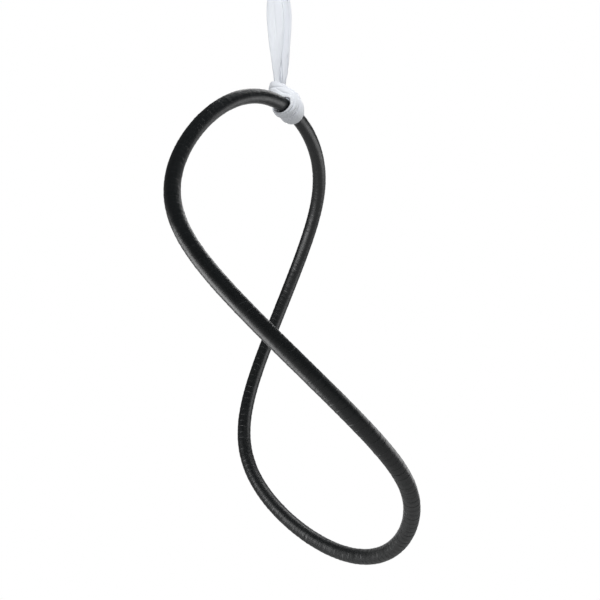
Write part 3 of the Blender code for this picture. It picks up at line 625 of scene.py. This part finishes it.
# Tape
def build_tape():
    """The strip as one closed skin: its rows run along the strip, so its edge is crisp all the way round."""
    rows = np.array(TAPE_ROWS)
    whole = LOOP_LENGTHS[-1]
    winds = round(whole / TAPE_PITCH)
    pitch = whole / winds
    count = winds * len(rows)
    index = np.arange(count)[:, None]
    side = np.arange(TAPE_SIDES)[None, :]
    phase = rows[index % len(rows)] + 0 * side
    round_tube = tau * side / TAPE_SIDES + 0 * index
    place = index // len(rows) + phase - side / TAPE_SIDES
    rng = np.random.default_rng(TAPE_SEED)
    round_loop = tau * place / winds
    place = place + drift(rng, round_loop, round_tube, *TAPE_WANDER)
    step = 1 + drift(rng, round_loop, round_tube, *TAPE_STEP_DRIFT)
    swell = drift(rng, round_loop, round_tube, *TAPE_SWELL)
    height = np.interp(phase, *TAPE_PROFILE)
    radius = TAPE_RADIUS - TAPE_STEP * (1 - TAPE_LEVEL) + TAPE_STEP * step * (height - TAPE_LEVEL) + swell
    turns = turn_at(place * pitch)
    _, outward, across = loop_axes(turns)
    points = loop_points(turns) + (
        outward * np.cos(round_tube)[..., None] + across * np.sin(round_tube)[..., None]) * radius[..., None]
    number = np.arange(count * TAPE_SIDES).reshape(count, TAPE_SIDES)
    number = np.concatenate([number, np.roll(number[:, :1], len(rows), axis=0)], axis=1)
    lengthways = (index // len(rows) + rows[index % len(rows)]) * pitch
    ahead = np.roll(lengthways, -1, axis=0)
    ahead[-1] = whole
    girth = tau * TAPE_RADIUS
    mesh = closed_skin("tape_winding", points, number, "winding", [
        (length, (side + shift) / TAPE_SIDES * girth)
        for length, shift in ((lengthways, 0), (lengthways, 1), (ahead, 1), (ahead, 0))])
    # Painted highlight: marks the strip's open edge, more strongly where its step stands taller
    edge = np.where(phase < EDGE_HIGHLIGHT_REACH, 1.0, 0.0) * np.clip(step - EDGE_HIGHLIGHT_FROM, 0, 1)
    attribute = mesh.attributes.new("tape_edge_highlight", "FLOAT", "POINT")
    attribute.data.foreach_set("value", edge.astype(np.float32).ravel())
    mesh.validate()
    tapes = [name for name in sorted(frame["nodes"]) if name.startswith("grip_tape")]
    add_piece("tape_winding", mesh, "grip_tape", "frame", tapes, 40)


# Sling route, near the one that the frame's solid takes
# Each leg above the knot: share of the drop, shift in x and y off the straight line and width as
# shares of the leg's full width, thickness as a share of its full thickness, and the way its outer
# face looks in degrees from +X
NEAR_LEG = (
    (0.22, 0.030, -0.016, 0.54, 0.85, 146),
    (0.30, 0.030, -0.132, 0.64, 0.70, 134),
    (0.45, 0.032, -0.211, 0.80, 0.60, 108),
    (0.66, 0.058, -0.174, 1.000, 0.54, 94),
    (0.80, 0.026, -0.111, 0.763, 0.60, 106),
    (0.90, 0.005, -0.047, 0.553, 0.70, 138))
FAR_LEG = (
    (0.22, 0.080, -0.026, 0.46, 0.85, 146),
    (0.30, 0.130, 0.021, 0.56, 0.70, 134),
    (0.45, 0.120, -0.016, 0.66, 0.60, 108),
    (0.66, 0.105, -0.011, 0.80, 0.54, 92),
    (0.80, 0.030, 0.026, 0.66, 0.60, 74),
    (0.90, 0.005, 0.026, 0.52, 0.70, 42))
# One half of the hitch, in millimetres and degrees. First its leg rises through the bight and the
# strand goes round under the tube: along the tube, degrees round it from the top to the legs' side,
# radius less the strand's seat, rise above that, width and thickness
WRAP_RUN = (
    (8.4, 90, 0.0, 47.0, 16.5, 9.4), (10.8, 90, 0.2, 23.0, 20.0, 10.0), (13.6, 90, 0.6, 0.0, 24.0, 10.4),
    (15.2, 122, 0.2, 0.0, 27.0, 9.6), (16.0, 155, -0.9, 0.0, 28.0, 8.6), (16.4, 188, -1.4, 0.0, 28.5, 8.2),
    (16.0, 221, -1.1, 0.0, 28.0, 8.6), (15.0, 254, -0.2, 0.0, 27.0, 9.8))
# Then it leaves the tube and crosses over to the middle of the bight: along the tube, to the legs'
# side, up, the way its face looks in the same three, width and thickness
BIGHT_RUN = (
    (14.4, -21.4, 6.5, (0.16, -0.93, 0.32), 27.5, 10.6),
    (15.4, -18.8, 15.4, (0.32, -0.84, 0.44), 31.0, 10.8),
    (18.0, -12.0, 23.2, (0.64, -0.58, 0.50), 35.5, 10.8), (21.2, 0.8, 27.8, (0.86, -0.30, 0.41), 39.5, 10.6),
    (23.4, 13.6, 34.6, (0.94, -0.04, 0.34), 39.0, 10.0), (22.9, 25.5, 40.6, (0.88, 0.45, 0.15), 34.5, 9.4),
    (13.8, 34.0, 44.0, (0.45, 0.89, 0.03), 32.0, 9.0), (0.0, 36.2, 44.6, (0.0, 1.0, 0.0), 30.0, 9.0))
# The far half sits closer in along the tube than the near half, by this share
FAR_SPREAD = 0.8
# Creases pressed in by the knot: place along the route in stations, place across the outer layer, drift
# over the crease's length, half-length, width across and depth
HITCH_CREASES = (
    (18.1, 0.43, 0.07, 0.022, 0.036, 0.0050), (17.0, 0.60, -0.10, 0.030, 0.024, 0.0038),
    (20.2, 0.68, 0.08, 0.034, 0.024, 0.0038), (21.3, 0.48, 0.08, 0.024, 0.026, 0.0032),
    (23.2, 0.62, -0.10, 0.022, 0.026, 0.0028), (29.5, 0.45, 0.10, 0.030, 0.022, 0.0020),
    (32.0, 0.62, -0.10, 0.028, 0.022, 0.0020))
MILLIMETRE = 0.001


def station(place, way, width, thick):
    return np.concatenate([place, unit(np.array(way, float)), [width, thick]])


def bow_stations():
    """Over the carabiner's bow, from the right leg to the left."""
    radius = STOCK / 2 + BOW_CLEARANCE + BOW_THICK / 2
    stations = []
    for angle in np.radians((0, 45, 90, 135, 180)):
        way = np.array((cos(angle), 0, sin(angle)))
        stations.append(station(np.array((0, 0, SLING_BOW)) + way * radius, way, BOW_WIDTH, BOW_THICK))
    return stations


def hitch_stations(side):
    """One half of the hitch, from its leg to the middle of the bight."""
    seat = (TAPE_RADIUS + TAPE_CLEARANCE + WRAP_THICK / 2) / MILLIMETRE
    rows = []
    for lengthways, angle, lift, rise, width, thick in WRAP_RUN:
        sine, cosine = sin(radians(angle)), cos(radians(angle))
        radius = seat + lift
        rows.append((lengthways, radius * sine, radius * cosine + rise, (0, sine, cosine), width, thick))
    rows += BIGHT_RUN
    spacing = MILLIMETRE if side > 0 else -MILLIMETRE * FAR_SPREAD
    stations = []
    for lengthways, sideways, up, look, width, thick in rows:
        turn = turn_at(HITCH_LENGTH + spacing * lengthways)
        along, outward, across = loop_axes(turn)
        way = along * look[0] * side + across * look[1] + outward * look[2]
        place = loop_points(turn) + (across * sideways + outward * up) * MILLIMETRE
        stations.append(station(place, way, width * MILLIMETRE, thick * MILLIMETRE))
    return stations


def leg_stations(leg, foot, head):
    stations = []
    for share, shift_x, shift_y, width, thick, look in leg:
        place = foot + (head - foot) * share + np.array((shift_x, shift_y, 0)) * LEG_WIDTH
        way = (cos(radians(look)), sin(radians(look)), 0)
        stations.append(station(place, way, width * LEG_WIDTH, thick * LEG_THICK))
    return stations


def sling_route():
    """Points, outward ways, widths and thicknesses once round the band, finely spaced."""
    bow = bow_stations()
    near = hitch_stations(1)
    far = hitch_stations(-1)
    foot = (near[2][:3] + far[2][:3]) / 2
    near_leg = leg_stations(NEAR_LEG, foot + (near[0][:3] - far[0][:3]) / 2, bow[-1][:3])
    far_leg = leg_stations(FAR_LEG, foot + (far[0][:3] - near[0][:3]) / 2, bow[0][:3])
    rows = np.array(bow + near_leg[::-1] + near + far[-2::-1] + far_leg)
    before, second, after = (np.roll(rows, shift, axis=0)[:, None] for shift in (1, -1, -2))
    first = rows[:, None]
    share = (np.arange(CLOTH_SPANS) / CLOTH_SPANS)[None, :, None]
    fine = 0.5 * (
        2 * first + (second - before) * share + (2 * before - 5 * first + 4 * second - after) * share ** 2
        + (3 * first - before - 3 * second + after) * share ** 3)
    return fine.reshape(-1, rows.shape[1])


# Sling cloth
def folded(start, bend, end, count):
    """Points between two layers' edges, round a fold."""
    t = (np.arange(1, count + 1) / (count + 1))[None, :]
    return [a[:, None] * (1 - t) ** 2 + b[:, None] * 2 * t * (1 - t) + c[:, None] * t ** 2
            for a, b, c in zip(start, bend, end)]


def creases(share, where, rows):
    """Inward pull of a layer: each row is a place along the band, one across it, its drift over the
    crease's length, the crease's half-length, its width across and its depth."""
    pull = 0.0
    for place, across, lean, reach, width, depth in rows:
        ahead = (where - place) / reach
        fade = np.exp(-ahead ** 2)
        off = (share - across - lean * ahead) / width
        pull = pull + depth * fade * np.exp(-np.sqrt(off ** 2 + CREASE_ROUNDING) * CREASE_FALL)
    return pull


def seeded_creases(rng, whole, count, reach, width, depth):
    """Creases strewn over the whole band, as rows for the function above."""
    places = (np.arange(count) + rng.uniform(0, 1, count)) / count * whole
    return [
        (place, *(rng.uniform(*span) for span in (CREASE_PLACES, CREASE_LEAN, reach, width, depth)))
        for place in places]


def rest_on_tape(points):
    """Points that would sink into the taped tube by the hitch, moved out to just clear of it."""
    spine = loop_points(turn_at(HITCH_LENGTH + np.linspace(-SPINE_REACH, SPINE_REACH, SPINE_POINTS)))
    near = np.linalg.norm(points - np.array(HITCH), axis=-1) < HITCH_REACH
    moved = points[near]
    for batch in np.array_split(np.arange(len(moved)), REST_BATCHES):
        away = moved[batch][:, None] - spine
        distances = np.linalg.norm(away, axis=-1)
        closest = distances.argmin(axis=1)
        pick = np.arange(len(batch)), closest
        moved[batch] = spine[closest] + away[pick] * np.maximum(1, CLOTH_REST / distances[pick][:, None])
    points[near] = moved
    return points


def layer(swing, share, half, rise, pull):
    """A layer that goes round its strand, drawn in by its creases."""
    angle = np.radians(swing[0] + swing[1] * share)
    return (half - pull) * np.cos(angle), (rise - pull) * np.sin(angle)


def build_sling():
    """The band gathered into a rope: one smooth outer layer, its rumpled middle folded away inside."""
    route = sling_route()
    places, ways, widths, thicks = route[:, :3], route[:, 3:6], route[:, 6], route[:, 7]
    count = len(places)
    along = unit(np.roll(places, -1, axis=0) - np.roll(places, 1, axis=0))
    outward = unit(ways - along * (ways * along).sum(-1, keepdims=True))
    across = np.cross(along, outward)
    steps = np.linalg.norm(np.roll(places, -1, axis=0) - places, axis=1)
    lengths = np.concatenate([[0], np.cumsum(steps)])
    whole = lengths[-1]
    where = lengths[:-1, None]
    rng = np.random.default_rng(CLOTH_SEED)
    half, rise = widths[:, None] / 2, thicks[:, None] / 2
    tight = np.clip((rise - LOOSE_HALF) / TIGHT_MORE, 0, 1)

    outer_share = np.linspace(0, 1, OUTER_COLUMNS)[None, :]
    share = np.linspace(0, 1, INNER_COLUMNS)[None, :]
    rows = [(lengths[round(place * CLOTH_SPANS)], *crease) for place, *crease in HITCH_CREASES]
    rows += seeded_creases(rng, whole, *LONG_CREASES)
    rows += seeded_creases(rng, whole, *SHORT_CREASES)
    pull = creases(outer_share, where, rows) * (LOOSE_PULL + (1 - LOOSE_PULL) * tight)
    outer = layer(OUTER_SWING, outer_share, half, rise, pull)
    pull = INNER_SETBACK + creases(share, where, seeded_creases(rng, whole, *INNER_CREASES))
    inner = layer(INNER_SWING, share, half, rise, pull)
    sway = MIDDLE_SWAY * tight * rise * np.sin(pi * share) * np.sin(tau * MIDDLE_WAVES * share)
    middle = (MIDDLE_WIDTH * half * (1 - 2 * share), rise * MIDDLE_TILT * (2 * share - 1) + sway)
    bends = [(half[:, 0] * right, rise[:, 0] * up) for right, up in (RIGHT_FOLD, LEFT_FOLD)]
    ends = [[axis[:, -1] for axis in outer], [axis[:, -1] for axis in middle]]
    starts = [[axis[:, 0] for axis in middle], [axis[:, 0] for axis in inner]]
    right, left = (folded(*corners, FOLD_COLUMNS) for corners in zip(ends, bends, starts))
    sideways, upward = (np.concatenate(parts, axis=1) for parts in zip(outer, right, middle, left, inner))
    columns = sideways.shape[1]
    round_strand = np.linspace(0, tau, columns)[None, :]
    upward = upward + drift(rng, tau * where / whole, round_strand, *CLOTH_RIPPLE) * np.sign(upward)
    points = rest_on_tape(
        places[:, None] + across[:, None] * sideways[..., None] + outward[:, None] * upward[..., None])
    number = np.arange(count * columns).reshape(count, columns)
    flat = np.linspace(0, CLOTH_WIDTH, columns)[None, :]
    mesh = closed_skin("sling_cloth", points, number, "cloth", [
        (flat[:, start:columns - 1 + start], lengths[shift:count + shift, None])
        for start, shift in ((0, 0), (1, 0), (1, 1), (0, 1))])
    piece = add_piece("sling_band", mesh, "sling_fabric", "sling", ["sling"], 60)
    solidify = piece.modifiers.new("thickness", "SOLIDIFY")
    solidify.thickness = CLOTH_THICKNESS
    solidify.offset = 0


# Carabiners
def carabiner_run(top, foot, middle):
    """Centreline from the nose over the top, down the spine and round to the gate's foot."""
    points = [Vector((0, BOW_RADIUS, middle + GATE_TOP_HEIGHT + NOSE_GAP))]
    for centre, start in ((top, 0), (foot, pi)):
        points += arc(UP * centre, Y, UP, BOW_RADIUS, evenly(start, pi, 28))
    points.append(Vector((0, BOW_RADIUS, middle + GATE_PIN_HEIGHT - GATE_RADIUS - TONGUE_GAP)))
    return points


def eased_bar(points, radius, ease, sides, hint):
    """A bar whose two end faces have a small rounded edge."""
    run = []
    for end, inward in ((points[0], points[1]), (points[-1], points[-2])):
        way = (inward - end).normalized()
        run.append([
            (end + way * ease * (1 - cos(a)), radius - ease * (1 - sin(a)))
            for a in BAR_LIP_ANGLES])
    start, finish = run
    stations = start + [(point, radius) for point in points[1:-1]] + finish[::-1]
    return swept([point for point, _ in stations], [size for _, size in stations], sides, hint)


def slab(outline, half):
    """A flat outline in the YZ plane given thickness along X."""
    return bridged([[Vector((side, y, z)) for y, z in outline] for side in (-half, half)])


def build_carabiner(side):
    name = f"{side}_carabiner"
    gate_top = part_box(f"{name}_gate")[1].z
    middle = gate_top - GATE_TOP_HEIGHT
    top, foot = middle + SIDE_LENGTH / 2, middle - SIDE_LENGTH / 2
    pin = Vector((0, BOW_RADIUS, middle + GATE_PIN_HEIGHT))
    bar = eased_bar(carabiner_run(top, foot, middle), STOCK / 2, BAR_EASE, 40, X)
    root = pin.z - GATE_RADIUS - TONGUE_GAP - TONGUE_ROOT
    hinge_outline = [(pin.y - TONGUE_RADIUS, root), (pin.y + TONGUE_RADIUS, root)]
    hinge_outline += [point.yz for point in arc(pin, Y, UP, TONGUE_RADIUS, evenly(0, pi, 16))]
    nose_foot = gate_top + NOSE_GAP - NOSE_TONGUE_LENGTH
    nose_top = gate_top + TONGUE_ROOT
    left, right = pin.y - NOSE_HALF_WIDTH, pin.y + NOSE_HALF_WIDTH
    nose_outline = [
        (left, nose_foot + NOSE_EASE), (left + NOSE_EASE, nose_foot), (right - NOSE_EASE, nose_foot),
        (right, nose_foot + NOSE_EASE), (right, nose_top), (left, nose_top)]
    bore_radius = PIN_RADIUS + PIN_CLEARANCE
    bore = turned([(bore_radius, -STOCK), (bore_radius, STOCK)], pin, X, Y, 32)
    frame_steps = [("UNION", slab(outline, TONGUE / 2)) for outline in (hinge_outline, nose_outline)]
    frame_mesh = joined(bar, frame_steps + [("DIFFERENCE", bore.copy())])
    add_piece(f"{name}_frame", frame_mesh, "satin_alloy", name, [f"{name}_body"])

    lock_foot, lock_top = (corner.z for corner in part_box(f"{name}_lock_sleeve"))
    axis = Y * BOW_RADIUS
    profile = [(POLE, pin.z - GATE_RADIUS)]
    for angle in evenly(0, pi / 2, 8)[1:]:
        profile.append((GATE_RADIUS * sin(angle), pin.z - GATE_RADIUS * cos(angle)))
    waist_foot = lock_foot + WAIST_LIFT
    waist_top = waist_foot + WAIST_LENGTH
    profile += [
        (GATE_RADIUS, waist_foot), (GATE_WAIST, waist_foot + EDGE_EASE), (GATE_WAIST, waist_top - EDGE_EASE),
        (GATE_RADIUS, waist_top), (GATE_RADIUS, gate_top - EDGE_EASE), (GATE_RADIUS - EDGE_EASE, gate_top)]
    low_roof = pin.z + TONGUE_RADIUS + TONGUE_GAP
    nose_floor = nose_foot - TONGUE_GAP
    steps = []
    for low, high in ((pin.z - STOCK, low_roof), (nose_floor, gate_top + STOCK)):
        outline = [(pin.y - STOCK, low), (pin.y + STOCK, low), (pin.y + STOCK, high), (pin.y - STOCK, high)]
        steps.append(("DIFFERENCE", slab(outline, TONGUE / 2 + SLOT_CLEARANCE)))
    steps.append(("DIFFERENCE", bore))
    gate = joined(turned(profile, axis, sides=48), steps)
    add_piece(f"{name}_gate_bar", gate, "bright_steel", f"{side}_gate", [f"{name}_gate"])
    half = PIN_LENGTH / 2
    rivet = turned([
        (POLE / 2, -half), (PIN_RADIUS - EDGE_EASE, -half), (PIN_RADIUS, EDGE_EASE - half),
        (PIN_RADIUS, half - EDGE_EASE), (PIN_RADIUS - EDGE_EASE, half), (POLE / 2, half)], pin, X, Y, 32)
    add_piece(f"{name}_rivet", rivet, "bright_steel", name, [f"{name}_hinge_pin"])
    sleeve = lock_sleeve(axis, lock_foot, lock_top)
    add_piece(f"{name}_sleeve", sleeve, "dark_alloy", f"{side}_lock_sleeve", [f"{name}_lock_sleeve"], 28)


def lock_sleeve(axis, foot, top):
    """A ribbed sleeve with plain bands and a groove at each end."""
    sides = LOCK_RIBS * 6
    rows = [(LOCK_OUTER_RADIUS - inward, foot + up, ribs) for inward, up, ribs in LOCK_END]
    rows += [(LOCK_OUTER_RADIUS - inward, top - down, ribs) for inward, down, ribs in LOCK_END[::-1]]
    bore = GATE_RADIUS + LOCK_BORE_GAP
    rows += [(bore + EDGE_EASE, top, 0), (bore, top - EDGE_EASE, 0), (bore, foot + EDGE_EASE, 0),
             (bore + EDGE_EASE, foot, 0)]
    angles = np.arange(sides) * tau / sides
    flute = np.clip(np.cos(angles * LOCK_RIBS) + FLUTE_LIFT, 0, None) / (1 + FLUTE_LIFT)
    rings = []
    for radius, height, ribs in rows:
        sizes = radius - LOCK_RIB_DEPTH * ribs * flute
        rings.append([axis + spoke(a) * r + UP * height for a, r in zip(angles, sizes)])
    return bridged(rings, closed=True)


# Swivel
def ring_mesh(height, sides=28, steps=72):
    points = circle(UP * height, X, UP, RING_INNER_RADIUS + RING_BAR / 2, steps)
    return swept(points, [RING_BAR / 2] * steps, sides, Y, closed=True)


def build_swivel():
    housing_low, housing_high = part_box("swivel_housing")
    foot = housing_low.z
    top = foot + BARREL_HEIGHT
    profile = [(POLE, top), *((BARREL_RADIUS - inward, top - down) for inward, down in BARREL_TOP)]
    profile += [*((BARREL_RADIUS - inward, foot + up) for inward, up in BARREL_FOOT), (POLE, foot)]
    barrel = turned(eased(profile, EDGE_EASE), sides=96)
    bore_radius = BARREL_RADIUS - BARREL_WALL
    bore = turned([(bore_radius, top - BARREL_ROOF), (bore_radius, foot - BARREL_ROOF)])
    ring = ring_mesh(housing_high.z - RING_INNER_RADIUS - RING_BAR)
    housing = joined(barrel, [("UNION", ring), ("DIFFERENCE", bore)])
    add_piece("swivel_barrel", housing, "satin_alloy", "swivel_housing", ["swivel_housing"])

    cap_low, cap_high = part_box("swivel_end_cap")
    seal_low, seal_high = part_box("swivel_dust_seal")
    cap_inner = SHANK_RADIUS + CAP_CLEARANCE
    seat, seat_top = seal_high.x + SEAL_GAP, seal_high.z + SEAL_GAP
    cap = turned(eased([
        (cap_high.x, cap_low.z), (cap_high.x, cap_high.z), (cap_inner, cap_high.z), (cap_inner, seat_top),
        (seat, seat_top), (seat, cap_low.z)], 0.0003, closed=True), sides=72, closed=True)
    hole = [(CAP_HOLE_RADIUS, cap_low.z - CUT_PAST), (CAP_HOLE_RADIUS, cap_low.z + CAP_HOLE_DEPTH)]
    middle = (cap_high.x + seal_high.x) / 2
    places = [spoke(tau * (i + 0.5) / CAP_HOLES) * middle for i in range(CAP_HOLES)]
    holes = [("DIFFERENCE", turned(hole, place, sides=20)) for place in places]
    add_piece("swivel_cap", joined(cap, holes), "dark_alloy", "swivel_housing", ["swivel_end_cap"])
    seal = turned(eased([
        (seal_high.x, seal_low.z), (seal_high.x, seal_high.z), (SHANK_RADIUS + SEAL_GAP, seal_high.z),
        (SHANK_RADIUS + SEAL_GAP, seal_low.z), (SHANK_RADIUS + SEAL_LIP_INNER, seal_low.z + SEAL_LIP),
        (seal_high.x - SEAL_LIP_OUTER, seal_low.z + SEAL_LIP)], 0.0002, closed=True), closed=True)
    add_piece("swivel_wiper", seal, "seal_rubber", "swivel_housing", ["swivel_dust_seal"])

    stem_low, stem_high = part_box("swivel_stem")
    ring_height = stem_low.z + RING_INNER_RADIUS + RING_BAR
    ring_top = ring_height + RING_INNER_RADIUS + RING_BAR
    shoulder = foot - NECK_GAP
    flange = SHANK_RADIUS + NECK_FLANGE
    neck = turned(eased([
        (POLE, stem_high.z), (SHANK_RADIUS - SHANK_CHAMFER, stem_high.z),
        (SHANK_RADIUS, stem_high.z - SHANK_CHAMFER), (SHANK_RADIUS, shoulder), (flange, shoulder),
        (flange, ring_top - NECK_EDGE), (SHANK_RADIUS, ring_top - RING_BAR / 2),
        (POLE, ring_top - RING_BAR / 2)], 0.0005))
    stem = joined(neck, [("UNION", ring_mesh(ring_height))])
    add_piece("swivel_eye_stem", stem, "satin_alloy", "swivel_stem", ["swivel_stem"])


# Ceiling plate and eye
def build_ceiling():
    low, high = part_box("ceiling_plate")
    reach = high.x - PLATE_CORNER
    outline = []
    for quarter in range(4):
        corner = Matrix.Rotation(tau * quarter / 4, 3, "Z") @ Vector((reach, reach, 0))
        outline += [(corner, spoke(angle)) for angle in evenly(tau / 4 * quarter, tau / 4, 12)]
    top, foot = [], []
    for angle in evenly(0, pi / 2, 4):
        inset, drop = PLATE_BEVEL * (1 - sin(angle)), PLATE_BEVEL * (1 - cos(angle))
        for face, height in ((top, -drop), (foot, low.z + drop)):
            face.append([corner + way * (PLATE_CORNER - inset) + UP * height for corner, way in outline])
    radius = BOLT_HOLE / 2
    profile = [
        (radius + HOLE_EASE, CUT_PAST), (radius + HOLE_EASE, 0.0), (radius, -HOLE_EASE),
        (radius, low.z + HOLE_EASE), (radius + HOLE_EASE, low.z), (radius + HOLE_EASE, low.z - CUT_PAST)]
    places = [Vector((x, y, 0)) * BOLT_SPACING / 2 for x in (-1, 1) for y in (-1, 1)]
    holes = [("DIFFERENCE", turned(profile, place, sides=48)) for place in places]
    plate = joined(bridged(top + foot[::-1]), holes)
    add_piece("ceiling_plate_finished", plate, "plate_zinc", "root", ["ceiling_plate"], 25)

    eye_low, eye_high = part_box("ceiling_eye")
    radius = EYE_INNER_RADIUS + EYE_BAR / 2
    bend = eye_low.z + EYE_BAR / 2 + radius
    points = [
        Vector((-radius, 0, eye_high.z)), *arc(UP * bend, X, UP, radius, evenly(pi, pi, 36)),
        Vector((radius, 0, eye_high.z))]
    bar = swept(points, [EYE_BAR / 2] * len(points), 36, Y)
    add_piece("ceiling_eye_bar", bar, "plate_zinc", "root", ["ceiling_eye"])
    for side, name in ((-1, "left"), (1, "right")):
        fillet = weld_fillet(Vector((side * radius, 0, eye_high.z)))
        add_piece(f"eye_fillet_{name}", fillet, "weld_steel", "root", [f"eye_weld_{name}"], 50)


def weld_fillet(foot):
    """A fillet with the ripples of its run round the bar."""
    inner = EYE_BAR / 2 + FILLET_GAP
    rings = []
    for angle in evenly(0, tau, 96)[:-1]:
        ripple = 1 + FILLET_RIPPLES[0] * cos(FILLET_RIPPLES[1] * angle)
        ripple += FILLET_LUMPS[0] * sin(FILLET_LUMPS[1] * angle + 1)
        depth = FILLET_LEG * min(ripple, 1)
        profile = [(inner, 0.0)]
        for share in evenly(0, 1, 6):
            bulge = 1 + FILLET_BULGE * sin(pi * share) * ripple
            width = FILLET_LEG * (1 - share) * bulge * ripple
            profile.append((inner + max(width, FILLET_TOE), -depth * share))
        profile.append((inner, -depth))
        rings.append([foot + spoke(angle) * size + UP * height for size, height in profile])
    return bridged(rings, closed=True)


# Nodes that keep the frame's own shape
def finish_frame_nodes():
    """Hidden and small pieces keep their solids and get a real finish."""
    slots = {row["node"]: row["material_slot"] for row in frame["record"]["subparts"]}
    for name, node in frame["nodes"].items():
        if node.hide_render:
            continue
        slot = slots[name]
        node.data.materials.clear()
        node.data.materials.append(FINISH[slot])


# Studio
def ray_kinds(tree):
    """Whether the camera sent a ray, and whether gloss or glass did."""
    path = add_node(tree, "LightPath").outputs
    mirrored = math_node(tree, "MAXIMUM", path["Is Glossy Ray"], path["Is Transmission Ray"])
    return path["Is Camera Ray"], mirrored


def mixed(tree, factor, first, second, output):
    """Mix two shaders and link them to the output of this name."""
    mix = add_node(tree, "MixShader", {0: factor, 1: first, 2: second})
    tree.links.new(mix.outputs[0], tree.nodes[output].inputs["Surface"])


def build_camera():
    camera = add_object("camera", bpy.data.cameras.new("camera"))
    camera.data.sensor_width = SENSOR
    camera.data.lens = SENSOR * CAMERA_REACH
    sine, cosine = sin(CAMERA_PITCH), cos(CAMERA_PITCH)
    forward, above = Vector((0, cosine, sine)), Vector((0, -sine, cosine))
    right = X * cos(CAMERA_ROLL) + above * sin(CAMERA_ROLL)
    above = above * cos(CAMERA_ROLL) - X * sin(CAMERA_ROLL)
    turn = Matrix((right, above, -forward)).transposed()
    camera.matrix_world = Matrix.Translation(HITCH + CAMERA_OFFSET) @ turn.to_4x4()
    bpy.context.scene.camera = camera


def build_floor():
    bm = bmesh.new()
    bmesh.ops.create_circle(bm, cap_ends=True, segments=128, radius=FLOOR_RADIUS)
    mesh = mesh_of(bm, "floor")
    floor = add_object("floor", mesh)
    floor.location = (0, 0, cad_low.z - FLOOR_DROP)
    material, tree, shader = new_material("floor_paper", (0.55, 0.55, 0.55), 0.9)
    patches = noise_of(tree, object_place(tree), 3, 2)
    feed(shader, "Base Color", colour_between(tree, patches, (0.53, 0.53, 0.53), (0.57, 0.57, 0.57)))
    shown, mirrored = ray_kinds(tree)
    mirrored = math_node(tree, "MULTIPLY", mirrored, FLOOR_IN_GLOSS)
    shown = math_node(tree, "MULTIPLY", shown, FLOOR_WHITE)
    factor = math_node(tree, "MAXIMUM", shown, mirrored)
    white = add_node(tree, "Emission", {"Color": (1, 1, 1, 1), "Strength": 1.0})
    mixed(tree, factor, shader.outputs[0], white.outputs[0], "Material Output")
    mesh.materials.append(material)


def add_lamp(name, round_from_camera, up, away, size, power, mirrored):
    data = bpy.data.lights.new(name, "AREA")
    data.size = size
    data.energy = power
    lamp = add_object(name, data)
    lamp.visible_camera = False
    lamp.visible_glossy = mirrored
    lamp.visible_diffuse = not mirrored
    angle, rise = radians(round_from_camera), radians(up)
    way = Vector((sin(angle) * cos(rise), -cos(angle) * cos(rise), sin(rise)))
    lamp.location = Vector(HEART) + way * away
    lamp.rotation_euler = way.to_track_quat("Z", "Y").to_euler()


def build_studio():
    """A white background that stands behind the object, dimmer light from the room, and soft lamps."""
    world = bpy.data.worlds.new("studio")
    bpy.context.scene.world = world
    world.use_nodes = True
    tree = world.node_tree
    shown, mirrored = ray_kinds(tree)
    room = tree.nodes["Background"]
    room.inputs["Color"].default_value = (1, 1, 1, 1)
    feed(room, "Strength", spread(tree, mirrored, ROOM_LIGHT, ROOM_IN_GLOSS))
    paper = add_node(tree, "Background", {"Color": (1, 1, 1, 1), "Strength": 1.0})
    way = add_node(tree, "TexCoord").outputs["Generated"]
    behind = add_node(tree, "SeparateXYZ", {0: way}).outputs[1]
    mirrored = math_node(tree, "MULTIPLY", mirrored, spread(tree, behind, 0.0, 1.0, *PAPER_EDGE))
    shown = math_node(tree, "MAXIMUM", shown, mirrored)
    mixed(tree, shown, room.outputs[0], paper.outputs[0], "World Output")
    for lamp in LAMPS:
        add_lamp(*lamp)
    bpy.context.scene.view_settings.view_transform = "Standard"


build_camera()
build_sling()
build_tape()
for side in ("upper", "lower"):
    build_carabiner(side)
build_swivel()
build_ceiling()
finish_frame_nodes()
build_floor()
build_studio()
